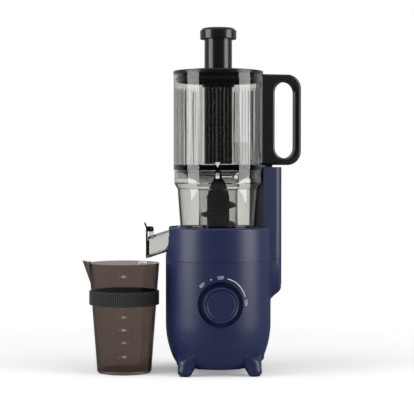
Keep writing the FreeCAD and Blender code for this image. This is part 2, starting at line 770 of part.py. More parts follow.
FRONT = Vector(0, -1, 0)
ring_face = housing_r - 5.6
knob_back = housing_r - 7.4
hub_back = knob_back + 3.4
knob_front = knob_reach
lying("dial_bezel", [
    (4.6, dial_floor), (dial_recess, dial_floor), (dial_recess, ring_face), (dial_recess - 1.6, ring_face - 0.9),
    (knob_r + knob_gap, ring_face - 2.2), (knob_r + knob_gap, knob_back - 0.6), (4.6, knob_back - 0.6)],
    FRONT, z=dial_z)
lying("dial_knob", [
    (spindle_r + 0.05, hub_back), (6.5, hub_back), (6.5, knob_front - 5), (knob_r - 2.5, knob_front - 5),
    (knob_r - 2.2, knob_back), (knob_r, knob_back), (knob_r - 0.7, knob_front - 1.2),
    (knob_r - 1.6, knob_front, (knob_r - 1.0, knob_front - 0.3)), (knob_r - 2.4, knob_front - 0.4),
    (knob_r - 3.6, knob_front - 1.8), (knob_r - 5.4, knob_front - 1.0), (knob_r - 6.8, knob_front - 1.7),
    (0, knob_front - 1.7),
    (0, knob_front - 4), (spindle_r + 0.05, knob_front - 4)], FRONT, z=dial_z)
switch_deep = 18.0
switch_back = dial_floor - 1.5 - switch_deep
lying("switch_spindle", [
    (0, switch_back + 4.0), (spindle_r, switch_back + 4.0), (spindle_r, knob_front - 4.3), (0, knob_front - 4.3)],
    FRONT, z=dial_z)
switch_body = body_named("rotary_switch")
padded(switch_body, sketch_on(switch_body, "XY_Plane", [slab(switch_half, switch_half, switch_half / 6)],
                              offset=switch_back), switch_deep)
padded(switch_body, sketch_on(switch_body, "XY_Plane", circles=[(0, 0, 4.3)], offset=dial_floor - 2.5),
       hub_back - dial_floor + 2.5)
pocketed(switch_body, sketch_on(switch_body, "XY_Plane", circles=[(0, 0, spindle_r + fit)], offset=hub_back + 0.5),
         23.0)
switch_body.Placement = Placement(Vector(), Rotation(Vector(0, 0, 1), FRONT))
node(switch_body, "rotary_switch", z=dial_z)
lying("switch_nut", [(4.4, knob_back - 0.5), (6.8, knob_back - 0.5), (6.8, hub_back - 1.0), (4.4, hub_back - 1.0)], FRONT, z=dial_z)

# Motor and gears

cap_low = motor_low - 3.0
turned_node("motor_can", [
    (bearing_r, motor_high - 2.5), (motor_r - 1.6, motor_high - 2.5), (motor_r - 1.6, motor_low),
    (motor_r, motor_low), (motor_r, motor_high), (bearing_r, motor_high)])
turned_node("motor_cap", [
    (bearing_r, cap_low), (motor_r, cap_low), (motor_r, motor_low), (motor_r - 1.8, motor_low),
    (motor_r - 1.8, motor_low + 2.0), (bearing_r, motor_low + 2.0)])
turned_node("lower_bearing", ring_path(motor_shaft_r + fit, bearing_r - fit, cap_low + 0.3, motor_low + 1.7))
turned_node("upper_bearing", ring_path(motor_shaft_r + fit, bearing_r - fit, motor_high - 2.5, motor_high))


def magnets():
    """Two curved magnets on the can's wall."""
    outer = motor_r.value - 1.7
    low = motor_low.value + 9.0
    height = (motor_high - motor_low).value - 18.0
    shapes = []
    for start in (15.0, 195.0):
        arc = Part.makeCylinder(outer, height, Vector(0, 0, low), Vector(0, 0, 1), 150.0)
        arc = arc.cut(Part.makeCylinder(outer - 4.0, height, Vector(0, 0, low)))
        arc.rotate(Vector(), Vector(0, 0, 1), start)
        shapes.append(arc)
    return shapes


group("motor_magnets", magnets())


def involute_gear(teeth, width, tooth_at):
    """A spur gear whose flanks are chords of an involute; a tooth stands at the angle tooth_at in degrees."""
    module = gear_module.value
    pitch = module * teeth / 2
    pressure = math.radians(25.0)
    base = pitch * math.cos(pressure)
    tip = pitch + 0.85 * module
    root = pitch - 1.15 * module
    thin = 0.05 / pitch
    half_pitch = math.pi / (2 * teeth) + math.tan(pressure) - pressure - thin

    def flank(radius):
        """Half the angle of a tooth at a radius."""
        if radius <= base:
            return half_pitch
        roll = math.acos(base / radius)
        return half_pitch - (math.tan(roll) - roll)

    radii = [root, max(base, root + 0.05), pitch, tip]
    points = []
    for number in range(teeth):
        middle = math.radians(tooth_at) + 2 * math.pi * number / teeth
        rising = [(middle - flank(radius), radius) for radius in radii]
        falling = [(middle + flank(radius), radius) for radius in reversed(radii)]
        for angle, radius in rising + falling:
            points.append(Vector(radius * math.cos(angle), radius * math.sin(angle), 0))
    face = Part.Face(Part.makePolygon(points + [points[0]]))
    return face.extrude(Vector(0, 0, width))


WHEEL = int(float(wheel_teeth))
PINION = int(float(pinion_teeth))
lay_y = gear_module * (pinion_teeth + wheel_teeth) / 2 + 0.05
first_z = case_low + 6.7
second_z = first_z + 13.0
half_wheel = 180.0 / WHEEL


def shaft(radius, low, high):
    return Part.makeCylinder(float(radius), float(high) - float(low), Vector(0, 0, float(low)))


# The motor's pinion has a tooth towards the layshaft, so the wheel there has a gap towards the motor.
core_r = motor_r.value - 6.6
core_low = motor_low.value + 12.0
core_high = motor_high.value - 12.0
armature = Part.makeCylinder(core_r, core_high - core_low, Vector(0, 0, core_low))
for number in range(12):
    tooth_gap = Part.makeBox(8.0, 2.0, core_high - core_low, Vector(core_r - 5.9, -1.0, core_low))
    tooth_gap.rotate(Vector(), Vector(0, 0, 1), 30.0 * number)
    armature = armature.cut(tooth_gap)
fan_z = cap_low.value - 6.5
fan = Part.makeCylinder(8.0, 5.0, Vector(0, 0, fan_z))
for number in range(9):
    blade = Part.makeBox(18.0, 1.4, 4.6, Vector(6.0, -0.7, fan_z))
    blade.rotate(Vector(6.0, 0, fan_z + 1.5), Vector(1, 0, 0), 25.0)
    blade.rotate(Vector(), Vector(0, 0, 1), 40.0 * number)
    fan = fan.fuse(blade)
shaped("motor_rotor", shaft(motor_shaft_r, fan_z + 5.5, first_z + 11.0).fuse([
    armature, Part.makeCylinder(9.0, 8.0, Vector(0, 0, core_high + 1.0))]))
shaped("rotor_fan", fan.cut(shaft(motor_shaft_r + 0.05, fan_z + 4.8, 30)))
pinion = involute_gear(PINION, 11.0, 90.0)
pinion.translate(Vector(0, 0, first_z.value - 0.5))
shaped("motor_pinion", pinion.cut(shaft(motor_shaft_r + 0.05, first_z - 2, first_z + 12)))

lay_wheel = involute_gear(WHEEL, 9.5, -90.0 + half_wheel)
lay_wheel.translate(Vector(0, 0, first_z.value))
lay_r = 4.0
lay_end_r = 3.0
shaped("layshaft_wheel", lay_wheel.cut(shaft(lay_r + 0.05, first_z - 1, first_z + 12)), y=lay_y)
lay_pinion = involute_gear(PINION, 13.0, -90.0)
lay_pinion.translate(Vector(0, 0, second_z.value - 1.0))
shaped("layshaft", lay_pinion.fuse([
    shaft(lay_r, first_z - 1, second_z), shaft(lay_end_r, case_low + 1.5, cover_z + 2.0)]), y=lay_y)

output_wheel = involute_gear(WHEEL, 10.5, 90.0 + half_wheel)
output_wheel.translate(Vector(0, 0, second_z.value))
shaped("output_wheel", output_wheel.cut(shaft(shaft_r + 0.05, second_z - 1, second_z + 14)))
hexagon = Part.makePolygon([Vector(*around(60 * n, hex_flat.value / math.sqrt(3)), hex_low.value) for n in range(7)])
drive_hex = Part.Face(hexagon).extrude(Vector(0, 0, (hex_high - hex_low).value))
shaped("output_shaft", shaft(shaft_r, second_z - 0.5, hex_low).fuse(drive_hex))


def case_outline(radius):
    """Two round bays side by side, joined by their common tangents."""
    return [
        (-radius, 0, (0, -radius)),
        (radius, 0),
        (radius, lay_y, (0, lay_y + radius)),
        (-radius, lay_y),
    ]


case_r = gear_module * wheel_teeth / 2 + 4.2
gearbox_case = body_named("gearbox_case")
padded(gearbox_case, sketch_on(gearbox_case, "XY_Plane", [case_outline(case_r)], offset=case_low),
       cover_z - gap - case_low)
pocketed(gearbox_case, sketch_on(gearbox_case, "XY_Plane", [case_outline(case_r - 2.4)], offset=cover_z),
         cover_z - case_low - 3.0)
pocketed(gearbox_case, sketch_on(gearbox_case, "XY_Plane", circles=[(0, 0, bearing_r), (0, lay_y, lay_end_r + fit)],
         offset=cover_z), 60.0)
node(gearbox_case, "gearbox_case")

cover = body_named("gearbox_cover")
padded(cover, sketch_on(cover, "XY_Plane", [case_outline(case_r)], offset=cover_z), 4.0)
ear_x, ear_y = around(45, post_r)
for angle in (45, 135):
    arm = sketch_on(cover, "XY_Plane", [slab(post_r + arm_half, arm_half, arm_half - 0.5)], offset=cover_z,
                    rotation=Rotation(Vector(0, 0, 1), angle))
    padded(cover, arm, 4.0)
tower_bore = shaft_r + 4.0
padded(cover, sketch_on(cover, "XY_Plane", circles=[(0, 0, tower_bore + 4.0)], offset=cover_z + 4.0), 12.0)
pocketed(cover, sketch_on(cover, "XY_Plane", circles=[(0, 0, tower_bore)], offset=cover_z + 20.0), 21.0)
pocketed(cover, sketch_on(cover, "XY_Plane", circles=[(0, lay_y, lay_end_r + fit)], offset=cover_z + 2.6), 3.0)
arm_hole = sketch_on(cover, "XY_Plane", circles=[(ear_x, ear_y, screw_r + 0.2)], offset=cover_z + 5.0)
repeated(cover, pocketed(cover, arm_hole, 8.0), 4, arm_hole)
node(cover, "gearbox_cover")
turned_node("output_bearing", ring_path(shaft_r + fit, tower_bore - 0.1, cover_z + 4.5, cover_z + 15.5))
damper = Part.makeCylinder(5.0, (cover_z - post_z).value - 0.4).cut(Part.makeCylinder(screw_r.value + 0.2, 10))
group("gearbox_dampers", [moved(damper, x, y, post_z.value + 0.2) for x, y in quarter_points(post_r)])
case_screw = Part.makeCylinder(screw_r.value, 14.0, Vector(0, 0, -14.0)).fuse(Part.makeCylinder(3.0, 2.4))
group("gearbox_screws", [moved(case_screw, x, y, cover_z.value + 4.2) for x, y in quarter_points(post_r)])
turned_node("shaft_seal", ring_path(shaft_r + 0.1, shaft_r + 4.9, seam_z + 0.6, deck_z - 0.1))

board_x = -(motor_r + 6.4)
board_half = 15.0
board = box("board", 1.6, board_half * 2, 42.0, (0, 0, 0))
node(board, "control_board", x=board_x, y=-board_half, z=ledge_z + wall + gap)
capacitor_r = 7.0
capacitor = cylinder("capacitor", capacitor_r, 28.0, (0, 0, 0))
node(capacitor, "capacitor", x=board_x - capacitor_r - 0.4, z=motor_low)
reed_high = 5.0
reed = box("safety_switch", 9.0, 8.0, reed_high, (0, 0, 0), Rotation(Vector(0, 0, 1), column_turn.value))
reed_x, reed_y = around(column_turn - 3.2, groove_in + 1.5)
node(reed, "safety_switch", x=reed_x, y=reed_y, z=groove_floor - 2.5 - gap - reed_high)

# Juice bowl, strainer and auger

lock_arc = 20
ring_inner = bowl_ring_r - 2.3
bowl_foot = deck_z + gap


def bayonet(body, path):
    """Three short ring sectors of one section."""
    sketch = sketch_on(body, "XZ_Plane", [path])
    feature = body.newObject("PartDesign::Revolution", "Lug")
    feature.Profile = sketch
    feature.ReferenceAxis = (sketch, ["V_Axis"])
    feature.Angle = lock_arc
    pattern = body.newObject("PartDesign::PolarPattern", "Lugs")
    pattern.Originals = [feature]
    pattern.Axis = (sketch, ["V_Axis"])
    pattern.Angle = 360
    pattern.Occurrences = 3
    body.Tip = pattern


def upright(half, low, high):
    """A rectangle about the upright axis of a sketch."""
    return [(-half, low), (half, low), (half, high), (-half, high)]


def tilted(body, half_u, half_v, corner, start_x):
    """A rounded rectangle square to the spout's falling axis, starting start_x from the juicer's axis."""
    slope = math.tan(math.radians(spout_tilt.value))
    sketch = body.newObject("Sketcher::SketchObject", "SpoutSection")
    sketch.AttachmentSupport = [(plane_of(body, "YZ_Plane"), "")]
    sketch.MapMode = "FlatFace"
    lift = spout_z + (spout_reach - start_x) * slope
    sketch.AttachmentOffset = Placement(
        Vector(0, lift.value, -start_x.value), Rotation(Vector(1, 0, 0), -spout_tilt.value))
    outline(sketch, slab(half_u, half_v, corner))
    return sketch


bowl = body_named("juice_bowl")
turned(bowl, [
    (0, bowl_foot), (bowl_low_r, bowl_foot), (bowl_low_r + 1.2, collar_z + 2), (bowl_neck_r, bowl_neck_z),
    (bowl_ring_r, bowl_ring_z), (bowl_ring_r, bowl_top), (0, bowl_top)])
spout_lean = math.cos(math.radians(spout_tilt.value))
spout_start = spout_reach + 10.4
padded(bowl, tilted(bowl, spout_w / 2, spout_h / 2, spout_round, spout_start),
       (spout_start - bowl_low_r + bowl_wall) / spout_lean)
duct_half = pulp_half + pulp_wall
duct_top = bowl_floor + pulp_high + pulp_wall
duct = sketch_on(bowl, "XZ_Plane", [upright(duct_half, bowl_floor - pulp_wall, duct_top)])
padded(bowl, duct, pulp_reach, back=True)
turned(bowl, [
    (0, bowl_floor), (bowl_low_r + 0.3 - bowl_wall, bowl_floor), (bowl_low_r + 1.2 - bowl_wall, collar_z + 2),
    (bowl_neck_r - bowl_wall, bowl_neck_z + 1), (ring_inner, bowl_ring_z + 1.5), (ring_inner, bowl_top + 1),
    (0, bowl_top + 1)], groove=True)
turned(bowl, [(0, bowl_foot - 1), (bowl_low_r - bowl_wall, bowl_foot - 1), (bowl_low_r - bowl_wall, bowl_floor - 2.6),
              (0, bowl_floor - 2.6)], groove=True)
channel_near = strainer_r + 1.6
channel = sketch_on(bowl, "XZ_Plane", [upright(duct_half, bowl_floor - 1.5, duct_top)], offset=-channel_near)
padded(bowl, channel, bowl_low_r + 1.2 - channel_near, back=True)
bore_start = spout_start + 4.0
pocketed(bowl, tilted(bowl, spout_w / 2 - bowl_wall, spout_h / 2 - bowl_wall, spout_round - bowl_wall, bore_start),
         (bore_start - bowl_low_r + bowl_wall + 1.7) / spout_lean, back=True)
pulp_way = sketch_on(bowl, "XZ_Plane", [upright(pulp_half, bowl_floor, bowl_floor + pulp_high)], offset=-strainer_r)
pocketed(bowl, pulp_way, pulp_reach - strainer_r + 6.0)
mouth = sketch_on(bowl, "XZ_Plane", [[
    (-spout_reach - 30, spout_z - 35), (-spout_reach, spout_z - 35), (-spout_reach, spout_z + 41),
    (-spout_reach - 30, spout_z + 41)]])
pocketed(bowl, mouth, 60.0, both=True)
pocketed(bowl, sketch_on(bowl, "XY_Plane", circles=[(0, 0, hub_r)], offset=bowl_floor + 1), 12.0)
bayonet(bowl, [(ring_inner - 1.4, bowl_top - 7.2), (ring_inner + 0.4, bowl_top - 7.2), (ring_inner + 0.4, bowl_top - 4.5),
               (ring_inner - 1.4, bowl_top - 4.5)])


def ear_path():
    """Side view of one ear over the spout, rounded about the flap's pin."""
    reach = flap_pin_r + 2.0
    return [
        (-flap_pin_x - reach, spout_z + 13.0),
        (reach - flap_pin_x, spout_z + 13.0),
        (reach - flap_pin_x, flap_pin_z, (-flap_pin_x, flap_pin_z + reach)),
        (-flap_pin_x - reach, flap_pin_z),
    ]


for side in (8.8, -11.8):
    padded(bowl, sketch_on(bowl, "XZ_Plane", [ear_path()], offset=side), 3.0)
pocketed(bowl, sketch_on(bowl, "XZ_Plane", circles=[(-flap_pin_x, flap_pin_z, flap_pin_r + 0.05)], offset=20.0), 40.0)
node(bowl, "juice_bowl")

flap_pin = body_named("flap_pin")
padded(flap_pin, sketch_on(flap_pin, "XZ_Plane", circles=[(-flap_pin_x, flap_pin_z, flap_pin_r)]), 24.6, both=True)
node(flap_pin, "flap_pin")

flap_face = spout_reach + gap
flap = body_named("spout_flap")
flap_half = spout_w / 2 - 1.0
flap_mid = spout_z + 5.2
flap_plate = sketch_on(flap, "YZ_Plane", [slab(flap_half, flap_half_z, spout_round)], offset=-flap_face - flap_t)
flap_plate.AttachmentOffset = Placement(Vector(0, flap_mid.value, -(flap_face + flap_t).value), Rotation())
padded(flap, flap_plate, flap_t)
padded(flap, sketch_on(flap, "XZ_Plane", [[
    (-flap_face - flap_t, flap_pin_z - 3.4), (-flap_pin_x, flap_pin_z - 3.4, (3.4 - flap_pin_x, flap_pin_z)),
    (-flap_pin_x, flap_pin_z + 3.4), (-flap_face - 1.2, flap_pin_z + 3.4),
    (-flap_face - 3.2, flap_pin_z + 9.0), (-flap_face - 5.2, flap_pin_z + 8.4),
    (-flap_face - flap_t, flap_pin_z + 1.5)]]), 17.0, both=True)
pocketed(flap, sketch_on(flap, "XZ_Plane", circles=[(-flap_pin_x, flap_pin_z, flap_pin_r + fit)], offset=20.0), 40.0)
node(flap, "spout_flap")
seal = body_named("flap_seal")
seal_sketch = sketch_on(seal, "YZ_Plane", [slab(spout_w / 2 - bowl_wall - 1.2, spout_h / 2 - bowl_wall - 1.2,
                                                spout_round - bowl_wall - 1.2)], offset=-flap_face + 0.02)
seal_sketch.AttachmentOffset = Placement(Vector(0, spout_z.value - 0.4, 0.02 - flap_face.value), Rotation())
padded(seal, seal_sketch, 2.0)
node(seal, "flap_seal")

turned_node("bowl_seal", [
    (shaft_r + 0.15, bowl_floor - 2.3), (hub_r - 0.05, bowl_floor - 2.3), (hub_r - 0.05, bowl_floor + 0.05),
    (hub_r + 1.4, bowl_floor + 0.05), (hub_r + 1.4, bowl_floor + 1.4), (shaft_r + 0.15, bowl_floor + 1.4)])
plug = body_named("pulp_plug")
plug_deep = 6.0
padded(plug, sketch_on(plug, "XZ_Plane", [upright(pulp_half - 0.2, bowl_floor + 0.2, bowl_floor + pulp_high - 0.2)],
                       offset=plug_deep - pulp_reach), plug_deep + 0.1, back=True)
padded(plug, sketch_on(plug, "XZ_Plane", [upright(duct_half - 0.4, bowl_floor - pulp_wall + 0.2, duct_top - 0.2)],
                       offset=-pulp_reach - 0.1), 2.6, back=True)
node(plug, "pulp_plug")

strainer_inner = strainer_r - strainer_wall
strainer = body_named("strainer")
turned(strainer, [
    (hub_r + 2.0, bowl_floor + 0.3), (strainer_r, bowl_floor + 0.3), (strainer_r, strainer_top - 3),
    (strainer_r + 2.0, strainer_top - 2), (strainer_r + 2.0, strainer_top), (strainer_inner, strainer_top),
    (strainer_inner, bowl_floor + 2.3), (hub_r + 2.0, bowl_floor + 2.3)])
slot_high_mm = 7.5
for row in range(3):
    slot_foot = strainer_top - 15.0 * (row + 1)
    slot = sketch_on(strainer, "YZ_Plane", [upright(1.1, slot_foot, slot_foot + slot_high_mm)], offset=strainer_r + 2)
    cut = pocketed(strainer, slot, 6.0)
    pattern = strainer.newObject("PartDesign::PolarPattern", "Slots")
    pattern.Originals = [cut]
    pattern.Axis = (slot, ["V_Axis"])
    pattern.Angle = 360
    pattern.Occurrences = 16
    strainer.Tip = pattern
window = sketch_on(strainer, "XZ_Plane", [upright(pulp_half - 0.6, bowl_floor + 2.6, bowl_floor + pulp_high - 3.6)],
                   offset=7.0 - strainer_r)
pocketed(strainer, window, 10.0)
node(strainer, "strainer")

auger_neck = strainer_top - 13.0
auger = body_named("auger")
turned(auger, [
    (0, auger_low), (auger_core + 1.6, auger_low), (auger_core, auger_low + 9), (auger_core, auger_neck),
    (auger_core - 3.2, auger_neck + 14.0), (6.2, auger_tip - 15.0), (3.0, auger_tip - 1.2), (1.6, auger_tip),
    (0, auger_tip)])
socket = [around(60 * n, (hex_flat / 2 + 0.15) * (2 / math.sqrt(3))) for n in range(6)]
pocketed(auger, sketch_on(auger, "XY_Plane", [socket], offset=hex_high + 1.0), hex_high - auger_low + 8.9)
pocketed(auger, sketch_on(auger, "XY_Plane", circles=[(0, 0, hub_r + 1.7)], offset=auger_low + 1.2), 3.0)
flight_z = auger_low + 2.1
flight_root = auger_core - 1.5
flight = sketch_on(auger, "XZ_Plane", [[
    (flight_root, flight_z), (auger_r, flight_z + 1.6), (auger_r, flight_z + 3.6), (flight_root, flight_z + 6.0)]])
helix = auger.newObject("PartDesign::AdditiveHelix", "Flight")
helix.Profile = flight
helix.ReferenceAxis = (flight, ["V_Axis"])
helix.Mode = 0
bind(helix, "Pitch", flight_pitch)
bind(helix, "Height", auger_neck - flight_z - 3.0)
node(auger, "auger")

# Hopper, handle, lid and pusher

hopper_inner = hopper_r - hopper_wall
skirt_r = ring_inner - 1.7
hopper_low = bowl_top + gap
hopper = body_named("hopper")
turned(hopper, [
    (skirt_r - 2.4, skirt_low), (skirt_r, skirt_low), (skirt_r, hopper_low), (hopper_r, hopper_low),
    (hopper_r, hopper_top), (hopper_inner, hopper_top), (hopper_inner, rib_low), (neck_r - 2.5, neck_low + 7.5),
    (neck_r - 2.5, neck_low), (neck_r, neck_low), (neck_r, neck_low + 6.0), (skirt_r - 2.4, hopper_low - 0.6)])
bayonet(hopper, [(skirt_r - 0.4, bowl_top - 11.5), (ring_inner - 0.3, bowl_top - 11.5),
                 (ring_inner - 0.3, bowl_top - 7.5), (skirt_r - 0.4, bowl_top - 7.5)])
rib = sketch_on(hopper, "XY_Plane", [[
    (hopper_inner - rib_deep, -0.5), (hopper_inner + 0.5, -0.9), (hopper_inner + 0.5, 0.9),
    (hopper_inner - rib_deep, 0.5)]], offset=rib_low)
repeated(hopper, padded(hopper, rib, rib_high - rib_low), rib_count, rib)
node(hopper, "hopper")
turned_node("hopper_seal", ring_path(skirt_r + 0.05, ring_inner - 0.15, bowl_top - 3.4, bowl_top - 1.4))

ramp = body_named("feed_ramp")
funnel_r = neck_r - 2.5
funnel_z = neck_low + 7.5
funnel_slope = (rib_low - funnel_z) / (hopper_inner - funnel_r)
ramp_near = pusher_r + 2.05
ramp_toe = funnel_r + 2.0
ramp_heel = hopper_inner - 9.2
padded(ramp, sketch_on(ramp, "XZ_Plane", [[
    (ramp_near, rib_low + 4.0), (ramp_toe, funnel_z + funnel_slope * (ramp_toe - funnel_r) + gap),
    (ramp_heel, funnel_z + funnel_slope * (ramp_heel - funnel_r) + gap), (ramp_heel - 4.0, rib_low + 11.0),
    (ramp_heel - 9.0, rib_low + 31.0), (ramp_near, rib_low + 31.0)]]), 3.0, both=True)
node(ramp, "feed_ramp")

handle = body_named("handle")
cut_back = handle_bend * (1 - math.sqrt(0.5))
handle_in = hopper_r - 12.0
padded(handle, sketch_on(handle, "XZ_Plane", [[
    (handle_in, handle_low), (handle_reach - handle_bend, handle_low, (handle_reach - cut_back, handle_low + cut_back)),
    (handle_reach, handle_low + handle_bend),
    (handle_reach, handle_top - handle_bend, (handle_reach - cut_back, handle_top - cut_back)),
    (handle_reach - handle_bend, handle_top), (handle_in, handle_top)]]), handle_t, both=True)
slot_half = (handle_reach - handle_bar - handle_root) / 2
slot_mid = handle_root + slot_half
pocketed(handle, sketch_on(handle, "XZ_Plane", [[
    (handle_root, slot_low + slot_half, (slot_mid, slot_low)), (handle_root + slot_half * 2, slot_low + slot_half),
    (handle_root + slot_half * 2, slot_high - slot_half, (slot_mid, slot_high)),
    (handle_root, slot_high - slot_half)]], offset=20.0), 40.0)
pocketed(handle, sketch_on(handle, "XY_Plane", circles=[(0, 0, hopper_r + 0.1)], offset=handle_low - 1),
         handle_top - handle_low + 13.0, back=True)


def grip_edge(edge):
    """The long edges round the handle's outside and its finger slot."""
    far = edge.BoundBox.XMin > hopper_r.value + 4.0
    flat = edge.BoundBox.YMax - edge.BoundBox.YMin < 0.1
    return far and flat and abs(abs(edge.BoundBox.YMin) - handle_t.value / 2) < 0.1


rounded(handle, handle_round, grip_edge)
pocketed(handle, sketch_on(handle, "XY_Plane", circles=[(0, 0, lid_r + gap)], offset=lid_low - 0.6), 14.0, back=True)
lug_foot = column_z - lug_deep + gap
lug = sketch_on(handle, "XZ_Plane", [ring_path(groove_in + 0.8, groove_out - 0.9, lug_foot, handle_low + 2)])
padded(handle, lug, lug_half * 2, both=True)
magnet_r = 2.5
pocketed(handle, sketch_on(handle, "XY_Plane", circles=[(lug_r, 0, magnet_r + 0.15)], offset=lug_foot + 4.3), 6.0)
handle.Placement = Placement(Vector(), Rotation(Vector(0, 0, 1), column_turn.value))
node(handle, "handle")
magnet_x, magnet_y = around(column_turn, lug_r)
magnet = cylinder("lug_magnet", magnet_r, 4.0, (0, 0, 0))
node(magnet, "lug_magnet", x=magnet_x, y=magnet_y, z=lug_foot + 0.15)

lid_hole = pusher_r + 0.45
turned_node("lid", [
    (lid_hole, lid_skirt - 6), (lid_hole + 2.6, lid_skirt - 6), (lid_hole + 2.6, lid_low + 1.2),
    (lid_skirt_r - 2.4, lid_low + 0.4), (lid_skirt_r - 2.4, lid_skirt), (lid_skirt_r, lid_skirt),
    (lid_skirt_r, lid_low), (lid_r, lid_low), (lid_r, lid_edge - 1.4, (lid_r - 0.4, lid_edge - 0.4)),
    (lid_r - 1.4, lid_edge), (lid_r - 22.3, lid_top - 1.3), (lid_hole + 4.4, lid_top - 0.1), (lid_hole + 0.4, lid_top),
    (lid_hole, lid_top - 0.4)])
turned_node("lid_seal", ring_path(lid_skirt_r + 0.05, hopper_inner - 0.35, lid_skirt + 3, lid_skirt + 6))
turned_node("pusher", [
    (0, pusher_low), (pusher_r - 1, pusher_low), (pusher_r, pusher_low + 1), (pusher_r, pusher_neck),
    (pusher_head - 0.8, pusher_neck), (pusher_head, pusher_neck + 0.8), (pusher_head, pusher_top - 3.8),
    (pusher_head - 2.0, pusher_top - 2.2), (pusher_r - 2.2, pusher_top - 2.2), (pusher_r - 2.2, pusher_low + 2.5),
    (0, pusher_low + 2.5)])
turned_node("pusher_cap", [
    (0, pusher_top - 6), (pusher_r - 2.4, pusher_top - 6), (pusher_r - 2.4, pusher_top - 2.1),
    (pusher_head - 2.2, pusher_top - 2.1), (pusher_head - 2.8, pusher_top - 0.8), (pusher_head - 5.5, pusher_top),
    (0, pusher_top)])

# Cup

cup_flare = (cup_top_r - cup_low_r) / (cup_z - cup_foot)
band_foot_r = cup_low_r + cup_flare * (band_low - cup_foot) + 0.15
band_head_r = cup_low_r + cup_flare * (band_z - cup_foot) + 0.15
cup = body_named("cup")


def beak(body, inset, kind):
    """The pour lip, an oblique cone that grows out of the wall towards the rim."""
    low = sketch_on(body, "XY_Plane", circles=[(-(cup_low_r + cup_flare * (lip_low - cup_foot)) + 5.0, 0, 4.0 - inset)],
                    offset=lip_low)
    high = sketch_on(body, "XY_Plane", circles=[(lip_r - lip_reach, 0, lip_r - inset)], offset=lip_z + 3)
    loft = body.newObject("PartDesign::" + kind, "Lip")
    loft.Profile = low
    loft.Sections = [high]
    loft.Ruled = True
    return loft


turned(cup, [(0, 1.2), (cup_low_r - 4.7, 1.2), (cup_low_r - 3.7, 0), (cup_low_r - 1.7, 0), (cup_low_r, cup_foot),
             (cup_top_r, cup_z), (0, cup_z)])
beak(cup, Size(0.0, "0.0"), "AdditiveLoft")
turned(cup, [(0, 4.0), (cup_low_r - cup_wall - 0.6, 4.0), (cup_top_r - cup_wall, cup_z),
             (cup_top_r - cup_wall, cup_z + 12), (0, cup_z + 12)], groove=True)
beak(cup, cup_wall, "SubtractiveLoft")
pocketed(cup, sketch_on(cup, "XZ_Plane", [[
    (-lip_reach - 11, lip_z + 0.6), (-lip_reach, lip_z), (-cup_top_r + 7, cup_z), (-cup_top_r + 7, cup_z + 20),
    (-lip_reach - 11, cup_z + 20)]]), 60.0, both=True)
node(cup, "cup", x=cup_x)
turned_node("cup_band", [
    (band_foot_r, band_low), (band_r - 0.7, band_low), (band_r, band_low + 0.7), (band_r, band_z - 0.7),
    (band_r - 0.7, band_z), (band_head_r, band_z)], x=cup_x)

# Checks and files

doc.recompute()
for thing in doc.Objects:
    if "Invalid" in thing.State or "Error" in thing.State:
        raise RuntimeError("%s did not build: %s" % (thing.Label, thing.State))
for thing in nodes:
    if thing.Shape.isNull() or not thing.Shape.isValid() or not thing.Shape.Solids:
        raise RuntimeError("%s has no sound solid" % thing.Label)
for thing in nodes:
    thing.Shape.exportStep("parts/%s.step" % thing.Label)
    print(thing.Label, len(thing.Shape.Solids), round(thing.Shape.Volume / 1000, 2), "cm3")
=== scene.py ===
import math

import bmesh
import bpy
from mathutils import Matrix, Vector


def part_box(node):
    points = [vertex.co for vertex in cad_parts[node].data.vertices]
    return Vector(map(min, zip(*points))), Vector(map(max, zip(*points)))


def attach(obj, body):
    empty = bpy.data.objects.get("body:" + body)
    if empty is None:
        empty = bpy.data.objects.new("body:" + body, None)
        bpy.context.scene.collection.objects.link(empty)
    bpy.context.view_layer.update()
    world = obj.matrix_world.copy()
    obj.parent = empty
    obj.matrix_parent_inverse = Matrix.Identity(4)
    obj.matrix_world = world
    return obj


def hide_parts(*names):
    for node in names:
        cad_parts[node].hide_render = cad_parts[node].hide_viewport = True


bl_info = {
    "name": "Cold Press Juicer",
    "version": (1, 0, 0),
    "blender": (4, 5, 0),
    "location": "View3D > Sidebar > Juicer",
    "description": "Finishes, printed marks and studio for a cold press juicer with its cup",
    "category": "Add Mesh",
}

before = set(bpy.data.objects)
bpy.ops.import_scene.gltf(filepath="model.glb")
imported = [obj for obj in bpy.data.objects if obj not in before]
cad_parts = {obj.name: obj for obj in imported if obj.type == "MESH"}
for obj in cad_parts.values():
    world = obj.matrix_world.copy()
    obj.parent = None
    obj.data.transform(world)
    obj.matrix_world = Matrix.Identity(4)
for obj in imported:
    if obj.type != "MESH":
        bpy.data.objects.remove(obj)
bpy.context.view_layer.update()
MM = 0.001


# Places on the model, in metres


def box_of(node):
    """A node's lowest and highest corners."""
    low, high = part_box(node)
    return Vector(low), Vector(high)


def middle_of(node):
    """The middle of a node's box."""
    low, high = box_of(node)
    return (low + high) / 2


AXIS = middle_of("pusher")
CUP_AXIS = middle_of("cup_band")
DIAL = middle_of("dial_knob")
HOUSING_R = 73.0 * MM
COLUMN_REACH = 87.4 * MM
BELLY_TOP = 69.9 * MM
HOPPER_R = 62.0 * MM
BOWL_RING_R = 61.0 * MM
CUP_LOW_R = 37.7 * MM
CUP_TOP_R = 48.8 * MM
CUP_LOW_Z = 2.5 * MM
CUP_TOP_Z = 152.0 * MM

# The cuts that shape the motor housing: points are radius and height in millimetres

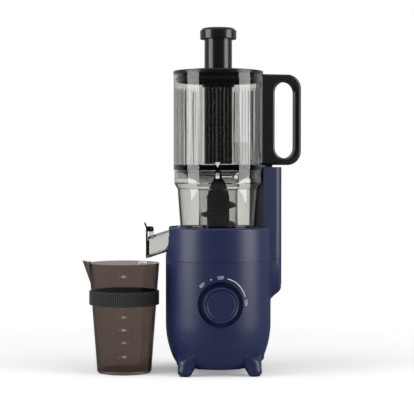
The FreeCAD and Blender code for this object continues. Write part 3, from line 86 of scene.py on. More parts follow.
FOOT_CURVE = (
    (73.02, 97.0), (73.3, 99.0), (73.9, 101.0), (74.8, 102.8), (76.2, 104.8), (78.2, 106.8), (80.6, 108.6),
    (83.0, 110.3), (85.2, 112.4), (87.0, 115.0), (88.4, 118.0), (89.6, 121.5), (90.4, 126.0), (92.0, 130.0))
FOOT_CUT_LOW = 88.0 * MM
FOOT_CUT_GAP = 0.02 * MM
FOOT_CUT_MARGIN = 8.0 * MM
LEG_SHOULDER = ((82.0, 4.0), (77.6, 13.0), (76.4, 18.0), (74.0, 22.0), (70.5, 25.0))
LEG_SHOULDER_TOP = 27.0 * MM
LEG_SHOULDER_STEP = 2.5 * MM
LEG_CUT_REACH = 95.0 * MM
LEG_CUT_LOW = 4.0 * MM
# Each leg's middle, and how far the cut reaches before and after it, in degrees. The rear right leg is
# cut only in part, because the gland's boss stands beside it.
LEG_SECTORS = ((45, 8, 24), (135, 24, 24), (225, 24, 24), (315, 24, 24))
BELLY_HEIGHTS_MM = range(28, 63, 2)
BELLY_GAP = 0.03 * MM
RAY_START = 200.0 * MM
WALL_MATCH = 0.1 * MM
HOUSING_SHARP = math.radians(32)
CUTTER_STEPS_PER_DEGREE = 0.53
CUTTER_LEAST_STEPS = 24

# The grip band

BAND_BEVEL = 0.8 * MM
BAND_FIT = 0.15 * MM
BAND_SHARP = math.radians(40)
FACETS_PER_RIB = 6
# The ribs' wave runs from -1 to 1. These are the value that its valleys are cut off at, and the value
# that lies on the wall's radius.
GROOVE_FLOOR = -0.6
RIB_MIDDLE = 0.4

# The printed marks: turns are degrees clockwise from the dial's top

PRINT_LIFT = 0.12 * MM
PRINT_STEP = 1.5 * MM
PRINT_CUTS = 3
CAPITAL_SHARE = 0.69
LETTER_WIDTH = 0.86
LETTER_SPACING = 0.95
DIAL_WORDS = (("OFF", 0, "print_off"), ("ON", 87, "print_on"), ("REV", -44, "print_rev"))
DOT_TURN = -21
DOT_R = 0.9 * MM
ARC_WIDTH = 1.2 * MM
ARC_START = 15
ARC_STOP = 74
ARC_STEPS = 40
# The cup's scale, as millilitres and height in millimetres
CUP_SCALE = ((100, 25.8), (200, 45.2), (300, 62.7), (400, 80.2), (800, 135.9))
CUP_LETTER = 3.2 * MM
CUP_LETTER_HEAVY = -0.06 * MM
POINTER_ABOVE_SEAL = 7.1 * MM
POINTER_HIGH = 7.0 * MM
POINTER_HALF = 3.6 * MM
SIGNS_BELOW_SEAL = 4.3 * MM
LOCKED_U = -3.8 * MM
UNLOCKED_U = 21.8 * MM
SHACKLE_OPEN = 1.8 * MM
SHACKLE_INNER = 1.3 * MM
SHACKLE_OUTER = 2.2 * MM
SHACKLE_UP = 1.6 * MM
SHACKLE_STEPS = 12
LOCK_HALF = 2.5 * MM
LOCK_DOWN = 3.6 * MM
LOCK_UP = 0.6 * MM
ARROW_START = 1.7 * MM
ARROW_STOP = 16.3 * MM
ARROW_DOWN = 1.0 * MM
ARROW_THIN = 0.5 * MM
ARROW_NECK = 1.5 * MM
ARROW_HEAD = 2.2 * MM
ARROW_HEAD_HALF = 1.3 * MM

# The studio: lamps are name, place from the axis in metres, width, height and watts

FLOOR_HALF = 6.0
FLOOR_GLOW = 0.28
DIFFUSE_FILL = 0.2
AIM_HEIGHT = 0.24
SOFT_BOXES = (
    ("soft_box_left", (-1.5, -0.55, 0.45), 1.0, 1.7, 26.0),
    ("soft_box_right", (1.5, -0.6, 0.45), 1.0, 1.7, 26.0),
    ("soft_box_top", (0.0, -0.4, 1.9), 1.6, 1.2, 8.0))
CAMERA_SIDE = -15.6 * MM
CAMERA_BACK = -1950.0 * MM
CAMERA_UP = 286.2 * MM
CAMERA_PITCH = math.radians(90.0 - 1.674)
CAMERA_TURN = math.radians(-2.3)


class JuicerColours(bpy.types.PropertyGroup):
    """Colours of the finishes, as sRGB hex."""

    navy: bpy.props.StringProperty(
        name="Navy", description="Colour of the moulded motor base", default="1B254B")
    black: bpy.props.StringProperty(
        name="Black", description="Colour of the polished black parts", default="151516")
    smoke: bpy.props.StringProperty(
        name="Smoke", description="Tint of the clear hopper and its ramp", default="E6E6E3")
    cup: bpy.props.StringProperty(
        name="Cup", description="Tint of the juice cup", default="9C9089")
    band: bpy.props.StringProperty(
        name="Band", description="Colour of the cup's grip band", default="2A2827")
    print: bpy.props.StringProperty(
        name="Print", description="Colour of the printed marks", default="E2E3E6")


class JuicerSizes(bpy.types.PropertyGroup):
    """Sizes of the printed marks, the grip band's ribs and the camera's lens."""

    dial_print: bpy.props.FloatProperty(
        name="Dial print radius", description="Radius of the marks round the dial", default=36.0 * MM,
        subtype="DISTANCE", unit="LENGTH")
    letter: bpy.props.FloatProperty(
        name="Letter height", description="Height of the letters round the dial", default=4.2 * MM,
        subtype="DISTANCE", unit="LENGTH")
    band_ribs: bpy.props.IntProperty(
        name="Band ribs", description="Upright ribs round the cup's grip band", default=100, min=24)
    rib_depth: bpy.props.FloatProperty(
        name="Rib depth", description="Depth of the grip band's ribs", default=1.4 * MM,
        subtype="DISTANCE", unit="LENGTH")
    lens: bpy.props.FloatProperty(
        name="Lens", description="Focal length of the camera", default=122.0, unit="CAMERA")


# Colours and nodes


def linear(code):
    """Turns an sRGB hex colour to linear red, green, blue and alpha."""
    parts = [int(code[i:i + 2], 16) / 255 for i in (0, 2, 4)]
    return tuple(p / 12.92 if p <= 0.04045 else ((p + 0.055) / 1.055) ** 2.4 for p in parts) + (1.0,)


def add(tree, kind, settings=None, links=None):
    """Adds a node, sets its inputs and properties, and links its inputs to other nodes' outputs."""
    node = tree.nodes.new(kind)
    for key, value in (settings or {}).items():
        if isinstance(key, int) or key in node.inputs:
            node.inputs[key].default_value = value
        else:
            setattr(node, key, value)
    for key, source in (links or {}).items():
        tree.links.new(source, node.inputs[key])
    return node


def new_material(name):
    """An empty material with its shader and the object's own coordinates, in metres."""
    material = bpy.data.materials.new(name)
    material.use_nodes = True
    tree = material.node_tree
    tree.nodes.clear()
    shader = add(tree, "ShaderNodeBsdfPrincipled")
    add(tree, "ShaderNodeOutputMaterial", links={"Surface": shader.outputs[0]})
    place = add(tree, "ShaderNodeTexCoord").outputs["Object"]
    return material, tree, shader, place


def tint(tree, shader, place, code, other, drift_mm):
    """A slow drift between two close colours, with its size in millimetres."""
    noise = add(tree, "ShaderNodeTexNoise", {"Scale": 1.0 / (drift_mm * MM), "Detail": 3.0},
                {"Vector": place})
    mix = add(tree, "ShaderNodeMix", {"data_type": "RGBA", 6: linear(code), 7: linear(other)},
              {"Factor": noise.outputs["Fac"]})
    tree.links.new(mix.outputs[2], shader.inputs["Base Color"])


def grain(tree, shader, place, pitch_mm, depth_mm, strength):
    """A fine raised grain, with its pitch and depth in millimetres."""
    noise = add(tree, "ShaderNodeTexNoise", {"Scale": 1.0 / (pitch_mm * MM), "Detail": 2.0},
                {"Vector": place})
    bump = add(tree, "ShaderNodeBump", {"Strength": strength, "Distance": depth_mm * MM},
               {"Height": noise.outputs["Fac"]})
    tree.links.new(bump.outputs[0], shader.inputs["Normal"])
    return noise


def rough(tree, shader, noise, low, high):
    """Roughness that follows a noise between two values."""
    spread = add(tree, "ShaderNodeMapRange", {"To Min": low, "To Max": high}, {"Value": noise.outputs["Fac"]})
    tree.links.new(spread.outputs[0], shader.inputs["Roughness"])


def seen_through(tree, ray):
    """Whether a ray has come straight from the eye through clear pieces, with nothing mirrored on its way."""
    bounced = add(tree, "ShaderNodeMath", {"operation": "ADD"},
                  {0: ray.outputs["Glossy Depth"], 1: ray.outputs["Diffuse Depth"]}).outputs[0]
    straight = add(tree, "ShaderNodeMath", {"operation": "LESS_THAN", 1: 0.5}, {0: bounced}).outputs[0]
    return add(tree, "ShaderNodeMath", {"operation": "MULTIPLY"},
               {0: ray.outputs["Is Transmission Ray"], 1: straight}).outputs[0]


def satin_abs():
    """ABS moulded in a spark-eroded tool: a deep navy with a soft sheen and broad, blurred highlights."""
    colours = bpy.context.scene.juicer_colours
    material, tree, shader, place = new_material("satin_moulded_abs_navy")
    tint(tree, shader, place, colours.navy, "1D2850", drift_mm=18.0)
    # Eroded grain of about 0.3 mm, drawn at 0.7 mm because the finer one is lost in the render.
    noise = grain(tree, shader, place, pitch_mm=0.7, depth_mm=0.02, strength=0.25)
    rough(tree, shader, noise, low=0.36, high=0.42)
    shader.inputs["IOR"].default_value = 1.53
    return material


def polished_abs():
    """ABS from a polished tool: near black, with bands where it mirrors the soft boxes."""
    colours = bpy.context.scene.juicer_colours
    material, tree, shader, place = new_material("polished_abs_black")
    tint(tree, shader, place, colours.black, "1A1A1A", drift_mm=25.0)
    noise = grain(tree, shader, place, pitch_mm=6.0, depth_mm=0.001, strength=0.05)
    rough(tree, shader, noise, low=0.20, high=0.26)
    shader.inputs["IOR"].default_value = 1.54
    return material


def copolyester(name, code, other, drift_mm, pitch_mm):
    """See-through copolyester, injection moulded and polished: a glassy wall whose polish varies a little."""
    material, tree, shader, place = new_material(name)
    tint(tree, shader, place, code, other, drift_mm)
    noise = add(tree, "ShaderNodeTexNoise", {"Scale": 1.0 / (pitch_mm * MM), "Detail": 2.0},
                {"Vector": place})
    rough(tree, shader, noise, low=0.01, high=0.03)
    shader.inputs["Transmission Weight"].default_value = 1.0
    shader.inputs["IOR"].default_value = 1.57
    return material


def clear_copolyester(name, code, other):
    """Clear copolyester with a little smoke: glassy with grey edges."""
    return copolyester(name, code, other, drift_mm=30.0, pitch_mm=9.0)


def tinted_copolyester():
    """Brown-grey tinted copolyester: a see-through cup that darkens at its edges."""
    colours = bpy.context.scene.juicer_colours
    return copolyester("tinted_copolyester_cup", colours.cup, "958983", drift_mm=40.0, pitch_mm=12.0)


def moulded_silicone(name, code):
    """Silicone rubber, compression moulded: dark and matt with a faint bloom."""
    material, tree, shader, place = new_material(name)
    tint(tree, shader, place, code, "343535", drift_mm=7.0)
    noise = grain(tree, shader, place, pitch_mm=0.6, depth_mm=0.02, strength=0.3)
    rough(tree, shader, noise, low=0.55, high=0.68)
    shader.inputs["IOR"].default_value = 1.41
    shader.inputs["Sheen Weight"].default_value = 0.15
    return material


def turned_steel():
    """Bright steel turned on a lathe: a fine uneven surface that breaks up its mirror."""
    material, tree, shader, place = new_material("turned_steel")
    tint(tree, shader, place, "B4B4B2", "A3A3A1", drift_mm=4.0)
    noise = grain(tree, shader, place, pitch_mm=0.5, depth_mm=0.01, strength=0.2)
    rough(tree, shader, noise, low=0.22, high=0.36)
    shader.inputs["Metallic"].default_value = 1.0
    return material


def dull_resin(name, code, other, shine=0.5):
    """Moulded nylon or acetal, or pressed epoxy board: dull with a fine mottle."""
    material, tree, shader, place = new_material(name)
    tint(tree, shader, place, code, other, drift_mm=3.0)
    noise = grain(tree, shader, place, pitch_mm=0.8, depth_mm=0.02, strength=0.2)
    rough(tree, shader, noise, low=0.42, high=0.56)
    shader.inputs["Specular IOR Level"].default_value = shine
    return material


def printed_ink():
    """Pad-printed ink: a flat pale grey, thinner in places."""
    colours = bpy.context.scene.juicer_colours
    material, tree, shader, place = new_material("pad_printed_ink")
    tint(tree, shader, place, colours.print, "BFC1C6", drift_mm=1.5)
    noise = grain(tree, shader, place, pitch_mm=0.4, depth_mm=0.01, strength=0.1)
    rough(tree, shader, noise, low=0.5, high=0.6)
    return material


def finish_nodes(material, *names):
    """Gives CAD pieces their material."""
    for name in names:
        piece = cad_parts[name]
        piece.data.materials.clear()
        piece.data.materials.append(material)


# Mesh tools


def mesh_piece(name, vertices, faces, material, body):
    """Makes a smooth object from points and faces, with its material, riding on a body."""
    mesh = bpy.data.meshes.new(name)
    mesh.from_pydata(vertices, [], faces)
    mesh.validate()
    mesh.update()
    mesh.shade_smooth()
    piece = bpy.data.objects.new(name, mesh)
    bpy.context.scene.collection.objects.link(piece)
    mesh.materials.append(material)
    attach(piece, body)
    return piece


def drawn_object(name, drawing):
    """Makes an object from a drawing, and frees the drawing."""
    mesh = bpy.data.meshes.new(name)
    drawing.to_mesh(mesh)
    drawing.free()
    thing = bpy.data.objects.new(name, mesh)
    bpy.context.scene.collection.objects.link(thing)
    return thing


def bake(piece):
    """Turns a piece's modifiers into its mesh."""
    bpy.context.view_layer.update()
    mesh = bpy.data.meshes.new_from_object(piece.evaluated_get(bpy.context.evaluated_depsgraph_get()))
    piece.modifiers.clear()
    piece.data = mesh


def cut(base, tool):
    """Takes the tool's volume out of the base's mesh, and removes the tool."""
    change = base.modifiers.new("cut", "BOOLEAN")
    change.operation = "DIFFERENCE"
    change.solver = "EXACT"
    change.object = tool
    bake(base)
    bpy.data.objects.remove(tool)


def ring_cutter(name, profile, start, stop):
    """Turns a profile (radius, height) about the juicer's axis to a solid, between two angles in degrees."""
    drawing = bmesh.new()
    full = stop - start == 360
    steps = max(CUTTER_LEAST_STEPS, round((stop - start) * CUTTER_STEPS_PER_DEGREE))
    rings = []
    for i in range(steps if full else steps + 1):
        turn = math.radians(start + (stop - start) * i / steps)
        rings.append([drawing.verts.new((AXIS.x + r * math.cos(turn), AXIS.y + r * math.sin(turn), z))
                      for r, z in profile])
    count = len(profile)
    for i in range(steps):
        here = rings[i]
        there = rings[(i + 1) % len(rings)]
        for j in range(count):
            k = (j + 1) % count
            drawing.faces.new((here[j], there[j], there[k], here[k]))
    if not full:
        drawing.faces.new(rings[0])
        drawing.faces.new(rings[-1][::-1])
    bmesh.ops.recalc_face_normals(drawing, faces=drawing.faces[:])
    return drawn_object(name, drawing)


def cup_radius(height):
    """Outer radius of the cup's tapered wall at a height."""
    share = (height - CUP_LOW_Z) / (CUP_TOP_Z - CUP_LOW_Z)
    return CUP_LOW_R + (CUP_TOP_R - CUP_LOW_R) * share


def on_cylinder(centre, radius):
    """Maps a flat drawing (u across, v up from z) onto the front of an upright cylinder."""
    def place(u, v):
        angle = u / radius
        reach = radius + PRINT_LIFT
        return Vector((centre.x + reach * math.sin(angle), centre.y - reach * math.cos(angle), v))
    return place


def on_cup(u, v):
    """Maps a flat drawing onto the front of the cup's tapered wall."""
    return on_cylinder(CUP_AXIS, cup_radius(v))(u, v)


def flat_mesh(outlines):
    """A flat drawing from closed outlines."""
    drawing = bmesh.new()
    for points in outlines:
        corners = [drawing.verts.new((u, v, 0)) for u, v in points]
        drawing.faces.new(corners)
    return drawing


def printed(name, drawing, place, material, body):
    """Lays a flat drawing on a wall as a printed mark, cut fine enough to follow the wall's curve."""
    bmesh.ops.triangulate(drawing, faces=drawing.faces[:])
    for _ in range(PRINT_CUTS):
        long_edges = [edge for edge in drawing.edges if edge.calc_length() > PRINT_STEP]
        if not long_edges:
            break
        bmesh.ops.subdivide_edges(drawing, edges=long_edges, cuts=1)
        bmesh.ops.triangulate(drawing, faces=drawing.faces[:])
    for vertex in drawing.verts:
        vertex.co = place(vertex.co.x, vertex.co.y)
    piece = drawn_object(name, drawing)
    piece.data.materials.append(material)
    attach(piece, body)


def lettering(words, height, spot, turn=0.0, heavy=0.0):
    """Words as a flat drawing, centred on a spot and turned; the height is of the capitals."""
    curve = bpy.data.curves.new("letters", "FONT")
    curve.body = words
    curve.size = height / CAPITAL_SHARE
    curve.align_x = "CENTER"
    curve.align_y = "CENTER"
    curve.resolution_u = 4
    curve.offset = heavy
    curve.space_character = LETTER_SPACING
    holder = bpy.data.objects.new("letters", curve)
    bpy.context.scene.collection.objects.link(holder)
    bpy.context.view_layer.update()
    mesh = bpy.data.meshes.new_from_object(holder.evaluated_get(bpy.context.evaluated_depsgraph_get()))
    drawing = bmesh.new()
    drawing.from_mesh(mesh)
    bpy.data.objects.remove(holder)
    bpy.data.meshes.remove(mesh)
    bpy.data.curves.remove(curve)
    narrow = Matrix.Diagonal((LETTER_WIDTH, 1, 1, 1))
    matrix = Matrix.Translation((spot[0], spot[1], 0)) @ Matrix.Rotation(turn, 4, "Z") @ narrow
    bmesh.ops.transform(drawing, matrix=matrix, verts=drawing.verts[:])
    return drawing


def disc_points(u, v, radius, count=20):
    """Points round a disc."""
    turns = [2 * math.pi * i / count for i in range(count)]
    return [(u + radius * math.cos(turn), v + radius * math.sin(turn)) for turn in turns]


def curved_bar(centre_u, centre_v, inner, outer, turns):
    """Four-cornered pieces of a curved bar. The turns are in radians, counter-clockwise from the right."""
    pieces = []
    for first, second in zip(turns, turns[1:]):
        pieces.append([
            (centre_u + inner * math.cos(first), centre_v + inner * math.sin(first)),
            (centre_u + outer * math.cos(first), centre_v + outer * math.sin(first)),
            (centre_u + outer * math.cos(second), centre_v + outer * math.sin(second)),
            (centre_u + inner * math.cos(second), centre_v + inner * math.sin(second)),
        ])
    return pieces


# Operators


class JUICER_OT_housings(bpy.types.Operator):
    """Finishes the navy motor base, its cover and the dial"""

    bl_idname = "juicer.housings"
    bl_label = "Motor base"

    def execute(self, context):
        navy = satin_abs()
        finish_nodes(navy, "upper_housing", "bottom_cover", "dial_bezel", "dial_knob")
        shell = bpy.data.objects.new("motor_housing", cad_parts["lower_housing"].data.copy())
        bpy.context.scene.collection.objects.link(shell)
        self.shape_foot(shell)
        self.shape_legs(shell)
        shell.data.materials.clear()
        shell.data.materials.append(navy)
        shell.data.shade_smooth()
        shell.data.set_sharp_from_angle(angle=HOUSING_SHARP)
        self.round_wall(shell.data)
        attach(shell, "base")
        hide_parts("lower_housing")
        return {"FINISHED"}

    def shape_foot(self, shell):
        """Draws the column's foot in to the round body in an S."""
        far = COLUMN_REACH + FOOT_CUT_MARGIN
        curve = [(radius * MM, height * MM) for radius, height in FOOT_CURVE]
        start = (HOUSING_R + FOOT_CUT_GAP, FOOT_CUT_LOW)
        profile = [start] + curve + [(far, curve[-1][1]), (far, FOOT_CUT_LOW)]
        cut(shell, ring_cutter("foot_cutter", profile, 0, 360))

    def shape_legs(self, shell):
        """Leaves only the legs' lower ends, under a rounded shoulder that starts at the belly's curve."""
        belly = self.belly_curve()
        shoulder = [(radius * MM, height * MM) for radius, height in LEG_SHOULDER]
        shoulder.append((belly[0][0] + LEG_SHOULDER_STEP, LEG_SHOULDER_TOP))
        profile = shoulder + belly + [(LEG_CUT_REACH, belly[-1][1]), (LEG_CUT_REACH, LEG_CUT_LOW)]
        for middle, before, after in LEG_SECTORS:
            cut(shell, ring_cutter("leg_cutter", profile, middle - before, middle + after))

    def belly_curve(self):
        """Points (radius, height) just outside the belly between the front legs, from low to high."""
        points = []
        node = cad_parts["lower_housing"]
        for height in BELLY_HEIGHTS_MM:
            start = Vector((AXIS.x, AXIS.y - RAY_START, height * MM))
            hit, spot, _, _ = node.ray_cast(start, Vector((0, 1, 0)))
            if not hit:
                raise RuntimeError("The belly's wall wasn't found")
            points.append((AXIS.y - spot.y + BELLY_GAP, height * MM))
        return points

    def on_wall(self, spot):
        """Whether a point is on the housing's outer cylinder."""
        reach = math.hypot(spot.x - AXIS.x, spot.y - AXIS.y)
        return spot.z > BELLY_TOP and abs(reach - HOUSING_R) < WALL_MATCH

    def round_wall(self, mesh):
        """Shades the round wall as a true cylinder, whatever triangles it is cut into."""
        normals = [Vector(corner.vector) for corner in mesh.corner_normals]
        for face in mesh.polygons:
            if not all(self.on_wall(mesh.vertices[i].co) for i in face.vertices):
                continue
            for corner, i in zip(face.loop_indices, face.vertices):
                spot = mesh.vertices[i].co
                normals[corner] = Vector((spot.x - AXIS.x, spot.y - AXIS.y, 0)).normalized()
        mesh.normals_split_custom_set(normals)


class JUICER_OT_black_parts(bpy.types.Operator):
    """Finishes the polished black handle, lid, pusher and spout flap"""

    bl_idname = "juicer.black_parts"
    bl_label = "Black parts"

    def execute(self, context):
        finish_nodes(polished_abs(), "handle", "lid", "pusher", "pusher_cap", "spout_flap")
        return {"FINISHED"}


class JUICER_OT_clear_parts(bpy.types.Operator):
    """Finishes the smoke-clear bowl, hopper, ramp and strainer"""

    bl_idname = "juicer.clear_parts"
    bl_label = "Clear parts"

    def execute(self, context):
        smoke = context.scene.juicer_colours.smoke
        finish_nodes(clear_copolyester("clear_copolyester_hopper", smoke, "DFDFDC"), "hopper", "feed_ramp")
        finish_nodes(clear_copolyester("clear_copolyester_bowl", "E9E9E6", "E3E3E0"), "juice_bowl")
        finish_nodes(clear_copolyester("clear_copolyester_strainer", "F2F2F0", "ECECEA"), "strainer")
        return {"FINISHED"}


class JUICER_OT_inner_parts(bpy.types.Operator):
    """Finishes the auger, the drive, the seals and the electrical parts"""

    bl_idname = "juicer.inner_parts"
    bl_label = "Inner parts"

    def execute(self, context):
        finish_nodes(dull_resin("moulded_auger_resin", "101011", "161617", shine=0.15), "auger")
        finish_nodes(turned_steel(), "bottom_screws", "switch_spindle", "switch_nut", "motor_can",
                     "motor_cap", "lower_bearing", "upper_bearing", "motor_rotor", "motor_pinion",
                     "layshaft", "output_shaft", "output_bearing", "gearbox_screws", "flap_pin")
        finish_nodes(moulded_silicone("moulded_silicone_black", "1B1B1B"), "rubber_feet", "inlet_bush",
                     "gearbox_dampers", "shaft_seal", "flap_seal", "bowl_seal", "pulp_plug", "hopper_seal",
                     "lid_seal")
        finish_nodes(dull_resin("moulded_nylon_black", "1D1D1E", "262627"), "rotary_switch", "rotor_fan",
                     "gearbox_case", "gearbox_cover", "capacitor", "safety_switch", "motor_magnets",
                     "lug_magnet")
        finish_nodes(dull_resin("moulded_acetal_ivory", "D8D4C4", "CFCBBB"), "layshaft_wheel", "output_wheel")
        finish_nodes(dull_resin("glass_epoxy_board_green", "1E4B2C", "275A36"), "control_board")
        return {"FINISHED"}


class JUICER_OT_cup(bpy.types.Operator):
    """Finishes the cup and models its ribbed grip band"""

    bl_idname = "juicer.cup"
    bl_label = "Cup and grip band"

    def execute(self, context):
        sizes = context.scene.juicer_sizes
        finish_nodes(tinted_copolyester(), "cup")
        rubber = moulded_silicone("moulded_silicone_band", context.scene.juicer_colours.band)
        vertices, faces = self.band_mesh(sizes.band_ribs, sizes.rib_depth)
        band = mesh_piece("grip_band", vertices, faces, rubber, "cup")
        band.data.set_sharp_from_angle(angle=BAND_SHARP)
        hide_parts("cup_band")
        return {"FINISHED"}

    def band_mesh(self, ribs, depth):
        """The band's points and faces. Its ribs are cosine waves whose valleys are cut flat."""
        low, high = box_of("cup_band")
        outer = (high.x - low.x) / 2
        around = ribs * FACETS_PER_RIB
        edge = outer - depth - BAND_BEVEL
        shoulder = outer - depth
        wall = outer - depth * 0.3
        # Each ring is a height, a radius and how much of the rib's depth shows there.
        rings = [
            (low.z, cup_radius(low.z) + BAND_FIT, 0), (low.z, edge, 0),
            (low.z + BAND_BEVEL / 3, shoulder, 0.2), (low.z + BAND_BEVEL, wall, 1),
            (high.z - BAND_BEVEL, wall, 1), (high.z - BAND_BEVEL / 3, shoulder, 0.2),
            (high.z, edge, 0), (high.z, cup_radius(high.z) + BAND_FIT, 0)]
        vertices = []
        for height, radius, share in rings:
            for i in range(around):
                angle = 2 * math.pi * i / around
                wave = max(GROOVE_FLOOR, math.cos(ribs * angle))
                reach = min(outer, radius + depth * share * 0.5 * (wave - RIB_MIDDLE))
                x = CUP_AXIS.x + reach * math.cos(angle)
                vertices.append((x, CUP_AXIS.y + reach * math.sin(angle), height))
        faces = []
        total = len(rings)
        for ring in range(total):
            here = ring * around
            there = ((ring + 1) % total) * around
            for i in range(around):
                j = (i + 1) % around
                faces.append((here + i, here + j, there + j, there + i))
        return vertices, faces


class JUICER_OT_printed_marks(bpy.types.Operator):
    """Prints the dial's marks, the lock signs and the cup's scale"""

    bl_idname = "juicer.printed_marks"
    bl_label = "Printed marks"

    def execute(self, context):
        ink = printed_ink()
        self.dial_marks(ink, context.scene.juicer_sizes)
        self.lock_signs(ink)
        self.cup_scale(ink)
        return {"FINISHED"}

    def dial_marks(self, ink, sizes):
        """The words, the dot and the arc round the dial."""
        wall = on_cylinder(AXIS, HOUSING_R)
        ring = sizes.dial_print

        def round_dial(degrees):
            angle = math.radians(degrees)
            return ring * math.sin(angle), DIAL.z + ring * math.cos(angle)

        for words, degrees, name in DIAL_WORDS:
            drawing = lettering(words, sizes.letter, round_dial(degrees), -math.radians(degrees))
            printed(name, drawing, wall, ink, "base")
        printed("print_dot", flat_mesh([disc_points(*round_dial(DOT_TURN), DOT_R)]), wall, ink, "base")
        sweep = ARC_STOP - ARC_START
        turns = [math.radians(90 - ARC_START - sweep * i / ARC_STEPS) for i in range(ARC_STEPS + 1)]
        arc = curved_bar(0, DIAL.z, ring - ARC_WIDTH / 2, ring + ARC_WIDTH / 2, turns)
        printed("print_arc", flat_mesh(arc), wall, ink, "base")

    def lock_signs(self, ink):
        """The hopper's pointer, and the locked and unlocked signs with an arrow between them."""
        ring_wall = on_cylinder(AXIS, BOWL_RING_R)
        seal_z = box_of("hopper_seal")[0].z
        tip_z = seal_z + POINTER_ABOVE_SEAL
        top_z = tip_z + POINTER_HIGH
        pointer = [(LOCKED_U, tip_z), (LOCKED_U + POINTER_HALF, top_z), (LOCKED_U - POINTER_HALF, top_z)]
        printed("print_pointer", flat_mesh([pointer]), on_cylinder(AXIS, HOPPER_R), ink, "hopper")
        line_z = seal_z - SIGNS_BELOW_SEAL
        locked = self.padlock(LOCKED_U, line_z, 0.0)
        unlocked = self.padlock(UNLOCKED_U, line_z, SHACKLE_OPEN)
        printed("print_locked", flat_mesh(locked), ring_wall, ink, "bowl")
        printed("print_unlocked", flat_mesh(unlocked), ring_wall, ink, "bowl")
        printed("print_arrow", flat_mesh(self.arrow(line_z - ARROW_DOWN)), ring_wall, ink, "bowl")

    def padlock(self, centre, line_z, opened):
        """A padlock's body and shackle; an open one's shackle stands aside on one leg."""
        low = line_z - LOCK_DOWN
        high = line_z + LOCK_UP
        body = [(centre - LOCK_HALF, low), (centre + LOCK_HALF, low), (centre + LOCK_HALF, high),
                (centre - LOCK_HALF, high)]
        top = line_z + SHACKLE_UP
        turns = [math.pi * i / SHACKLE_STEPS for i in range(SHACKLE_STEPS + 1)]
        arch = curved_bar(centre + opened, top, SHACKLE_INNER, SHACKLE_OUTER, turns)
        legs = []
        for side in (-1,) if opened else (-1, 1):
            edges = (centre + opened + side * SHACKLE_INNER, centre + opened + side * SHACKLE_OUTER)
            left, right = sorted(edges)
            legs.append([(left, high), (right, high), (right, top), (left, top)])
        return [body] + arch + legs

    def arrow(self, middle):
        """A bar with a head at each end."""
        left = ARROW_START + ARROW_NECK
        right = ARROW_STOP - ARROW_NECK
        head_left = ARROW_START + ARROW_HEAD
        head_right = ARROW_STOP - ARROW_HEAD
        low = middle - ARROW_HEAD_HALF
        high = middle + ARROW_HEAD_HALF
        return [
            [(left, middle - ARROW_THIN), (right, middle - ARROW_THIN), (right, middle + ARROW_THIN),
             (left, middle + ARROW_THIN)],
            [(ARROW_START, middle), (head_left, low), (head_left, high)],
            [(ARROW_STOP, middle), (head_right, high), (head_right, low)],
        ]

    def cup_scale(self, ink):
        """The cup's amounts, each between two dashes."""
        for amount, height in CUP_SCALE:
            drawing = lettering("–  %d  –" % amount, CUP_LETTER, (0, height * MM), heavy=CUP_LETTER_HEAVY)
            printed("print_%d_ml" % amount, drawing, on_cup, ink, "cup")


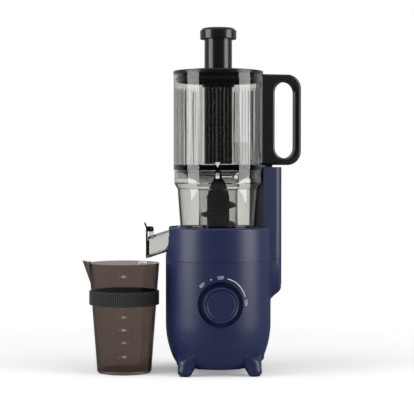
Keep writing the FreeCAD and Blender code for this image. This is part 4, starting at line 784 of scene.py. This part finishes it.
class JUICER_OT_stage(bpy.types.Operator):
    """Sets the floor, the backdrop's light, the lamps and the camera"""

    bl_idname = "juicer.stage"
    bl_label = "Studio"

    def execute(self, context):
        self.floor()
        self.world(context.scene)
        self.lamps()
        self.camera(context.scene)
        context.scene.view_settings.view_transform = "Standard"
        return {"FINISHED"}

    def floor(self):
        """A sheet of white paper on the table."""
        size = FLOOR_HALF
        corners = [(-size, -size, 0), (size, -size, 0), (size, size, 0), (-size, size, 0)]
        mesh = bpy.data.meshes.new("floor")
        mesh.from_pydata(corners, [], [(0, 1, 2, 3)])
        mesh.materials.append(self.paper())
        sheet = bpy.data.objects.new("floor", mesh)
        bpy.context.scene.collection.objects.link(sheet)

    def paper(self):
        """White paper that shows the juicer's shadow. To the eye it fades to plain white away from it."""
        material = bpy.data.materials.new("white_studio_paper")
        material.use_nodes = True
        tree = material.node_tree
        tree.nodes.clear()
        ray = add(tree, "ShaderNodeLightPath")
        seen = add(tree, "ShaderNodeMath", {"operation": "MAXIMUM"},
                   {0: ray.outputs["Is Camera Ray"], 1: seen_through(tree, ray)}).outputs[0]
        glow = add(tree, "ShaderNodeMath", {"operation": "MULTIPLY", 1: FLOOR_GLOW}, {0: seen}).outputs[0]
        # In mirrored views the paper is dimmer, so that it doesn't veil the clear pieces.
        mirrored = add(tree, "ShaderNodeMath", {"operation": "GREATER_THAN", 1: 0.5},
                       {0: ray.outputs["Glossy Depth"]}).outputs[0]
        tone = add(tree, "ShaderNodeMix", {"data_type": "RGBA", 6: linear("FAFAFA"), 7: linear("808080")},
                   {"Factor": mirrored})
        lit = add(tree, "ShaderNodeBsdfDiffuse", links={"Color": tone.outputs[2]})
        lift = add(tree, "ShaderNodeEmission", {"Color": (1, 1, 1, 1)}, {"Strength": glow})
        near = add(tree, "ShaderNodeAddShader", links={0: lit.outputs[0], 1: lift.outputs[0]})
        white = add(tree, "ShaderNodeEmission", {"Color": (1, 1, 1, 1), "Strength": 1.0})
        place = add(tree, "ShaderNodeTexCoord").outputs["Object"]
        apart = add(tree, "ShaderNodeVectorMath", {"operation": "LENGTH"}, {0: place})
        fade = add(tree, "ShaderNodeMapRange", {"From Min": 0.25, "From Max": 0.6},
                   {"Value": apart.outputs["Value"]})
        share = add(tree, "ShaderNodeMath", {"operation": "MULTIPLY"},
                    {0: fade.outputs[0], 1: seen}).outputs[0]
        both = add(tree, "ShaderNodeMixShader", links={0: share, 1: near.outputs[0], 2: white.outputs[0]})
        add(tree, "ShaderNodeOutputMaterial", links={"Surface": both.outputs[0]})
        return material

    def world(self, scene):
        """White to the eye. Through clear pieces it is white ahead, and grey at the sides and above."""
        world = bpy.data.worlds.new("studio_air")
        world.use_nodes = True
        scene.world = world
        tree = world.node_tree
        tree.nodes.clear()
        ray = add(tree, "ShaderNodeLightPath")
        way = add(tree, "ShaderNodeTexCoord").outputs["Generated"]
        towards = add(tree, "ShaderNodeSeparateXYZ", links={0: way}).outputs["Y"]
        through = seen_through(tree, ray)
        ahead = add(tree, "ShaderNodeMath", {"operation": "ABSOLUTE"}, {0: towards}).outputs[0]
        paper = add(tree, "ShaderNodeMapRange", {"From Min": 0.2, "From Max": 0.75, "To Min": 0.3},
                    {"Value": ahead}).outputs[0]
        clear = add(tree, "ShaderNodeMath", {"operation": "MULTIPLY"}, {0: through, 1: paper}).outputs[0]
        # What the pieces mirror is a dim room, dark in front of them and half as bright as the paper behind.
        either = add(tree, "ShaderNodeMath", {"operation": "MAXIMUM"},
                     {0: ray.outputs["Is Glossy Ray"], 1: ray.outputs["Is Transmission Ray"]}).outputs[0]
        mirrored = add(tree, "ShaderNodeMath", {"operation": "SUBTRACT"}, {0: either, 1: through}).outputs[0]
        room = add(tree, "ShaderNodeMapRange",
                   {"From Min": 0.1, "From Max": 0.6, "To Min": 0.04, "To Max": 0.5},
                   {"Value": towards}).outputs[0]
        glossy = add(tree, "ShaderNodeMath", {"operation": "MULTIPLY"}, {0: mirrored, 1: room}).outputs[0]
        fill = add(tree, "ShaderNodeMath", {"operation": "MULTIPLY", 1: DIFFUSE_FILL},
                   {0: ray.outputs["Is Diffuse Ray"]}).outputs[0]
        half = add(tree, "ShaderNodeMath", {"operation": "ADD"}, {0: glossy, 1: fill}).outputs[0]
        level = add(tree, "ShaderNodeMath", {"operation": "ADD"}, {0: half, 1: clear}).outputs[0]
        strength = add(tree, "ShaderNodeMath", {"operation": "MAXIMUM"},
                       {0: level, 1: ray.outputs["Is Camera Ray"]})
        air = add(tree, "ShaderNodeBackground", {"Color": (1, 1, 1, 1)}, {"Strength": strength.outputs[0]})
        add(tree, "ShaderNodeOutputWorld", links={"Surface": air.outputs[0]})

    def lamps(self):
        """Two tall soft boxes at the sides, which leave the front a darker middle, and a weaker one above."""
        target = Vector((AXIS.x, AXIS.y, AIM_HEIGHT))
        for name, spot, width, height, power in SOFT_BOXES:
            lamp = bpy.data.lights.new(name, "AREA")
            lamp.shape = "RECTANGLE"
            lamp.size = width
            lamp.size_y = height
            lamp.energy = power
            holder = bpy.data.objects.new(name, lamp)
            bpy.context.scene.collection.objects.link(holder)
            holder.location = Vector(spot) + Vector((AXIS.x, AXIS.y, 0))
            holder.rotation_euler = (target - holder.location).to_track_quat("-Z", "Y").to_euler()
            # A lamp isn't seen through clear pieces, only mirrored by their faces.
            holder.visible_transmission = False

    def camera(self, scene):
        """A view from far off, a little to the left and tilted slightly down."""
        lens = bpy.data.cameras.new("camera")
        lens.lens = scene.juicer_sizes.lens
        lens.sensor_width = 36.0
        lens.clip_end = 20.0
        holder = bpy.data.objects.new("camera", lens)
        scene.collection.objects.link(holder)
        spot = Matrix.Rotation(CAMERA_TURN, 4, "Z") @ Vector((CAMERA_SIDE, CAMERA_BACK, 0))
        holder.location = (AXIS.x + spot.x, AXIS.y + spot.y, CAMERA_UP)
        holder.rotation_euler = (CAMERA_PITCH, 0, CAMERA_TURN)
        scene.camera = holder


class JUICER_PT_panel(bpy.types.Panel):
    """Lists the juicer's sizes, colours and steps"""

    bl_idname = "JUICER_PT_panel"
    bl_label = "Cold press juicer"
    bl_space_type = "VIEW_3D"
    bl_region_type = "UI"
    bl_category = "Juicer"

    def draw(self, context):
        layout = self.layout
        for group in (context.scene.juicer_colours, context.scene.juicer_sizes):
            for name in group.__annotations__:
                layout.prop(group, name)
        for step in STEPS:
            layout.operator(step.bl_idname)


STEPS = (
    JUICER_OT_stage, JUICER_OT_housings, JUICER_OT_black_parts, JUICER_OT_clear_parts, JUICER_OT_inner_parts,
    JUICER_OT_cup, JUICER_OT_printed_marks)
CLASSES = (JuicerColours, JuicerSizes) + STEPS + (JUICER_PT_panel,)


def register():
    for item in CLASSES:
        bpy.utils.register_class(item)
    bpy.types.Scene.juicer_colours = bpy.props.PointerProperty(type=JuicerColours)
    bpy.types.Scene.juicer_sizes = bpy.props.PointerProperty(type=JuicerSizes)


def unregister():
    del bpy.types.Scene.juicer_sizes
    del bpy.types.Scene.juicer_colours
    for item in reversed(CLASSES):
        bpy.utils.unregister_class(item)


def main():
    register()
    for step in STEPS:
        group, name = step.bl_idname.split(".")
        getattr(getattr(bpy.ops, group), name)()


if __name__ == "__main__":
    main()
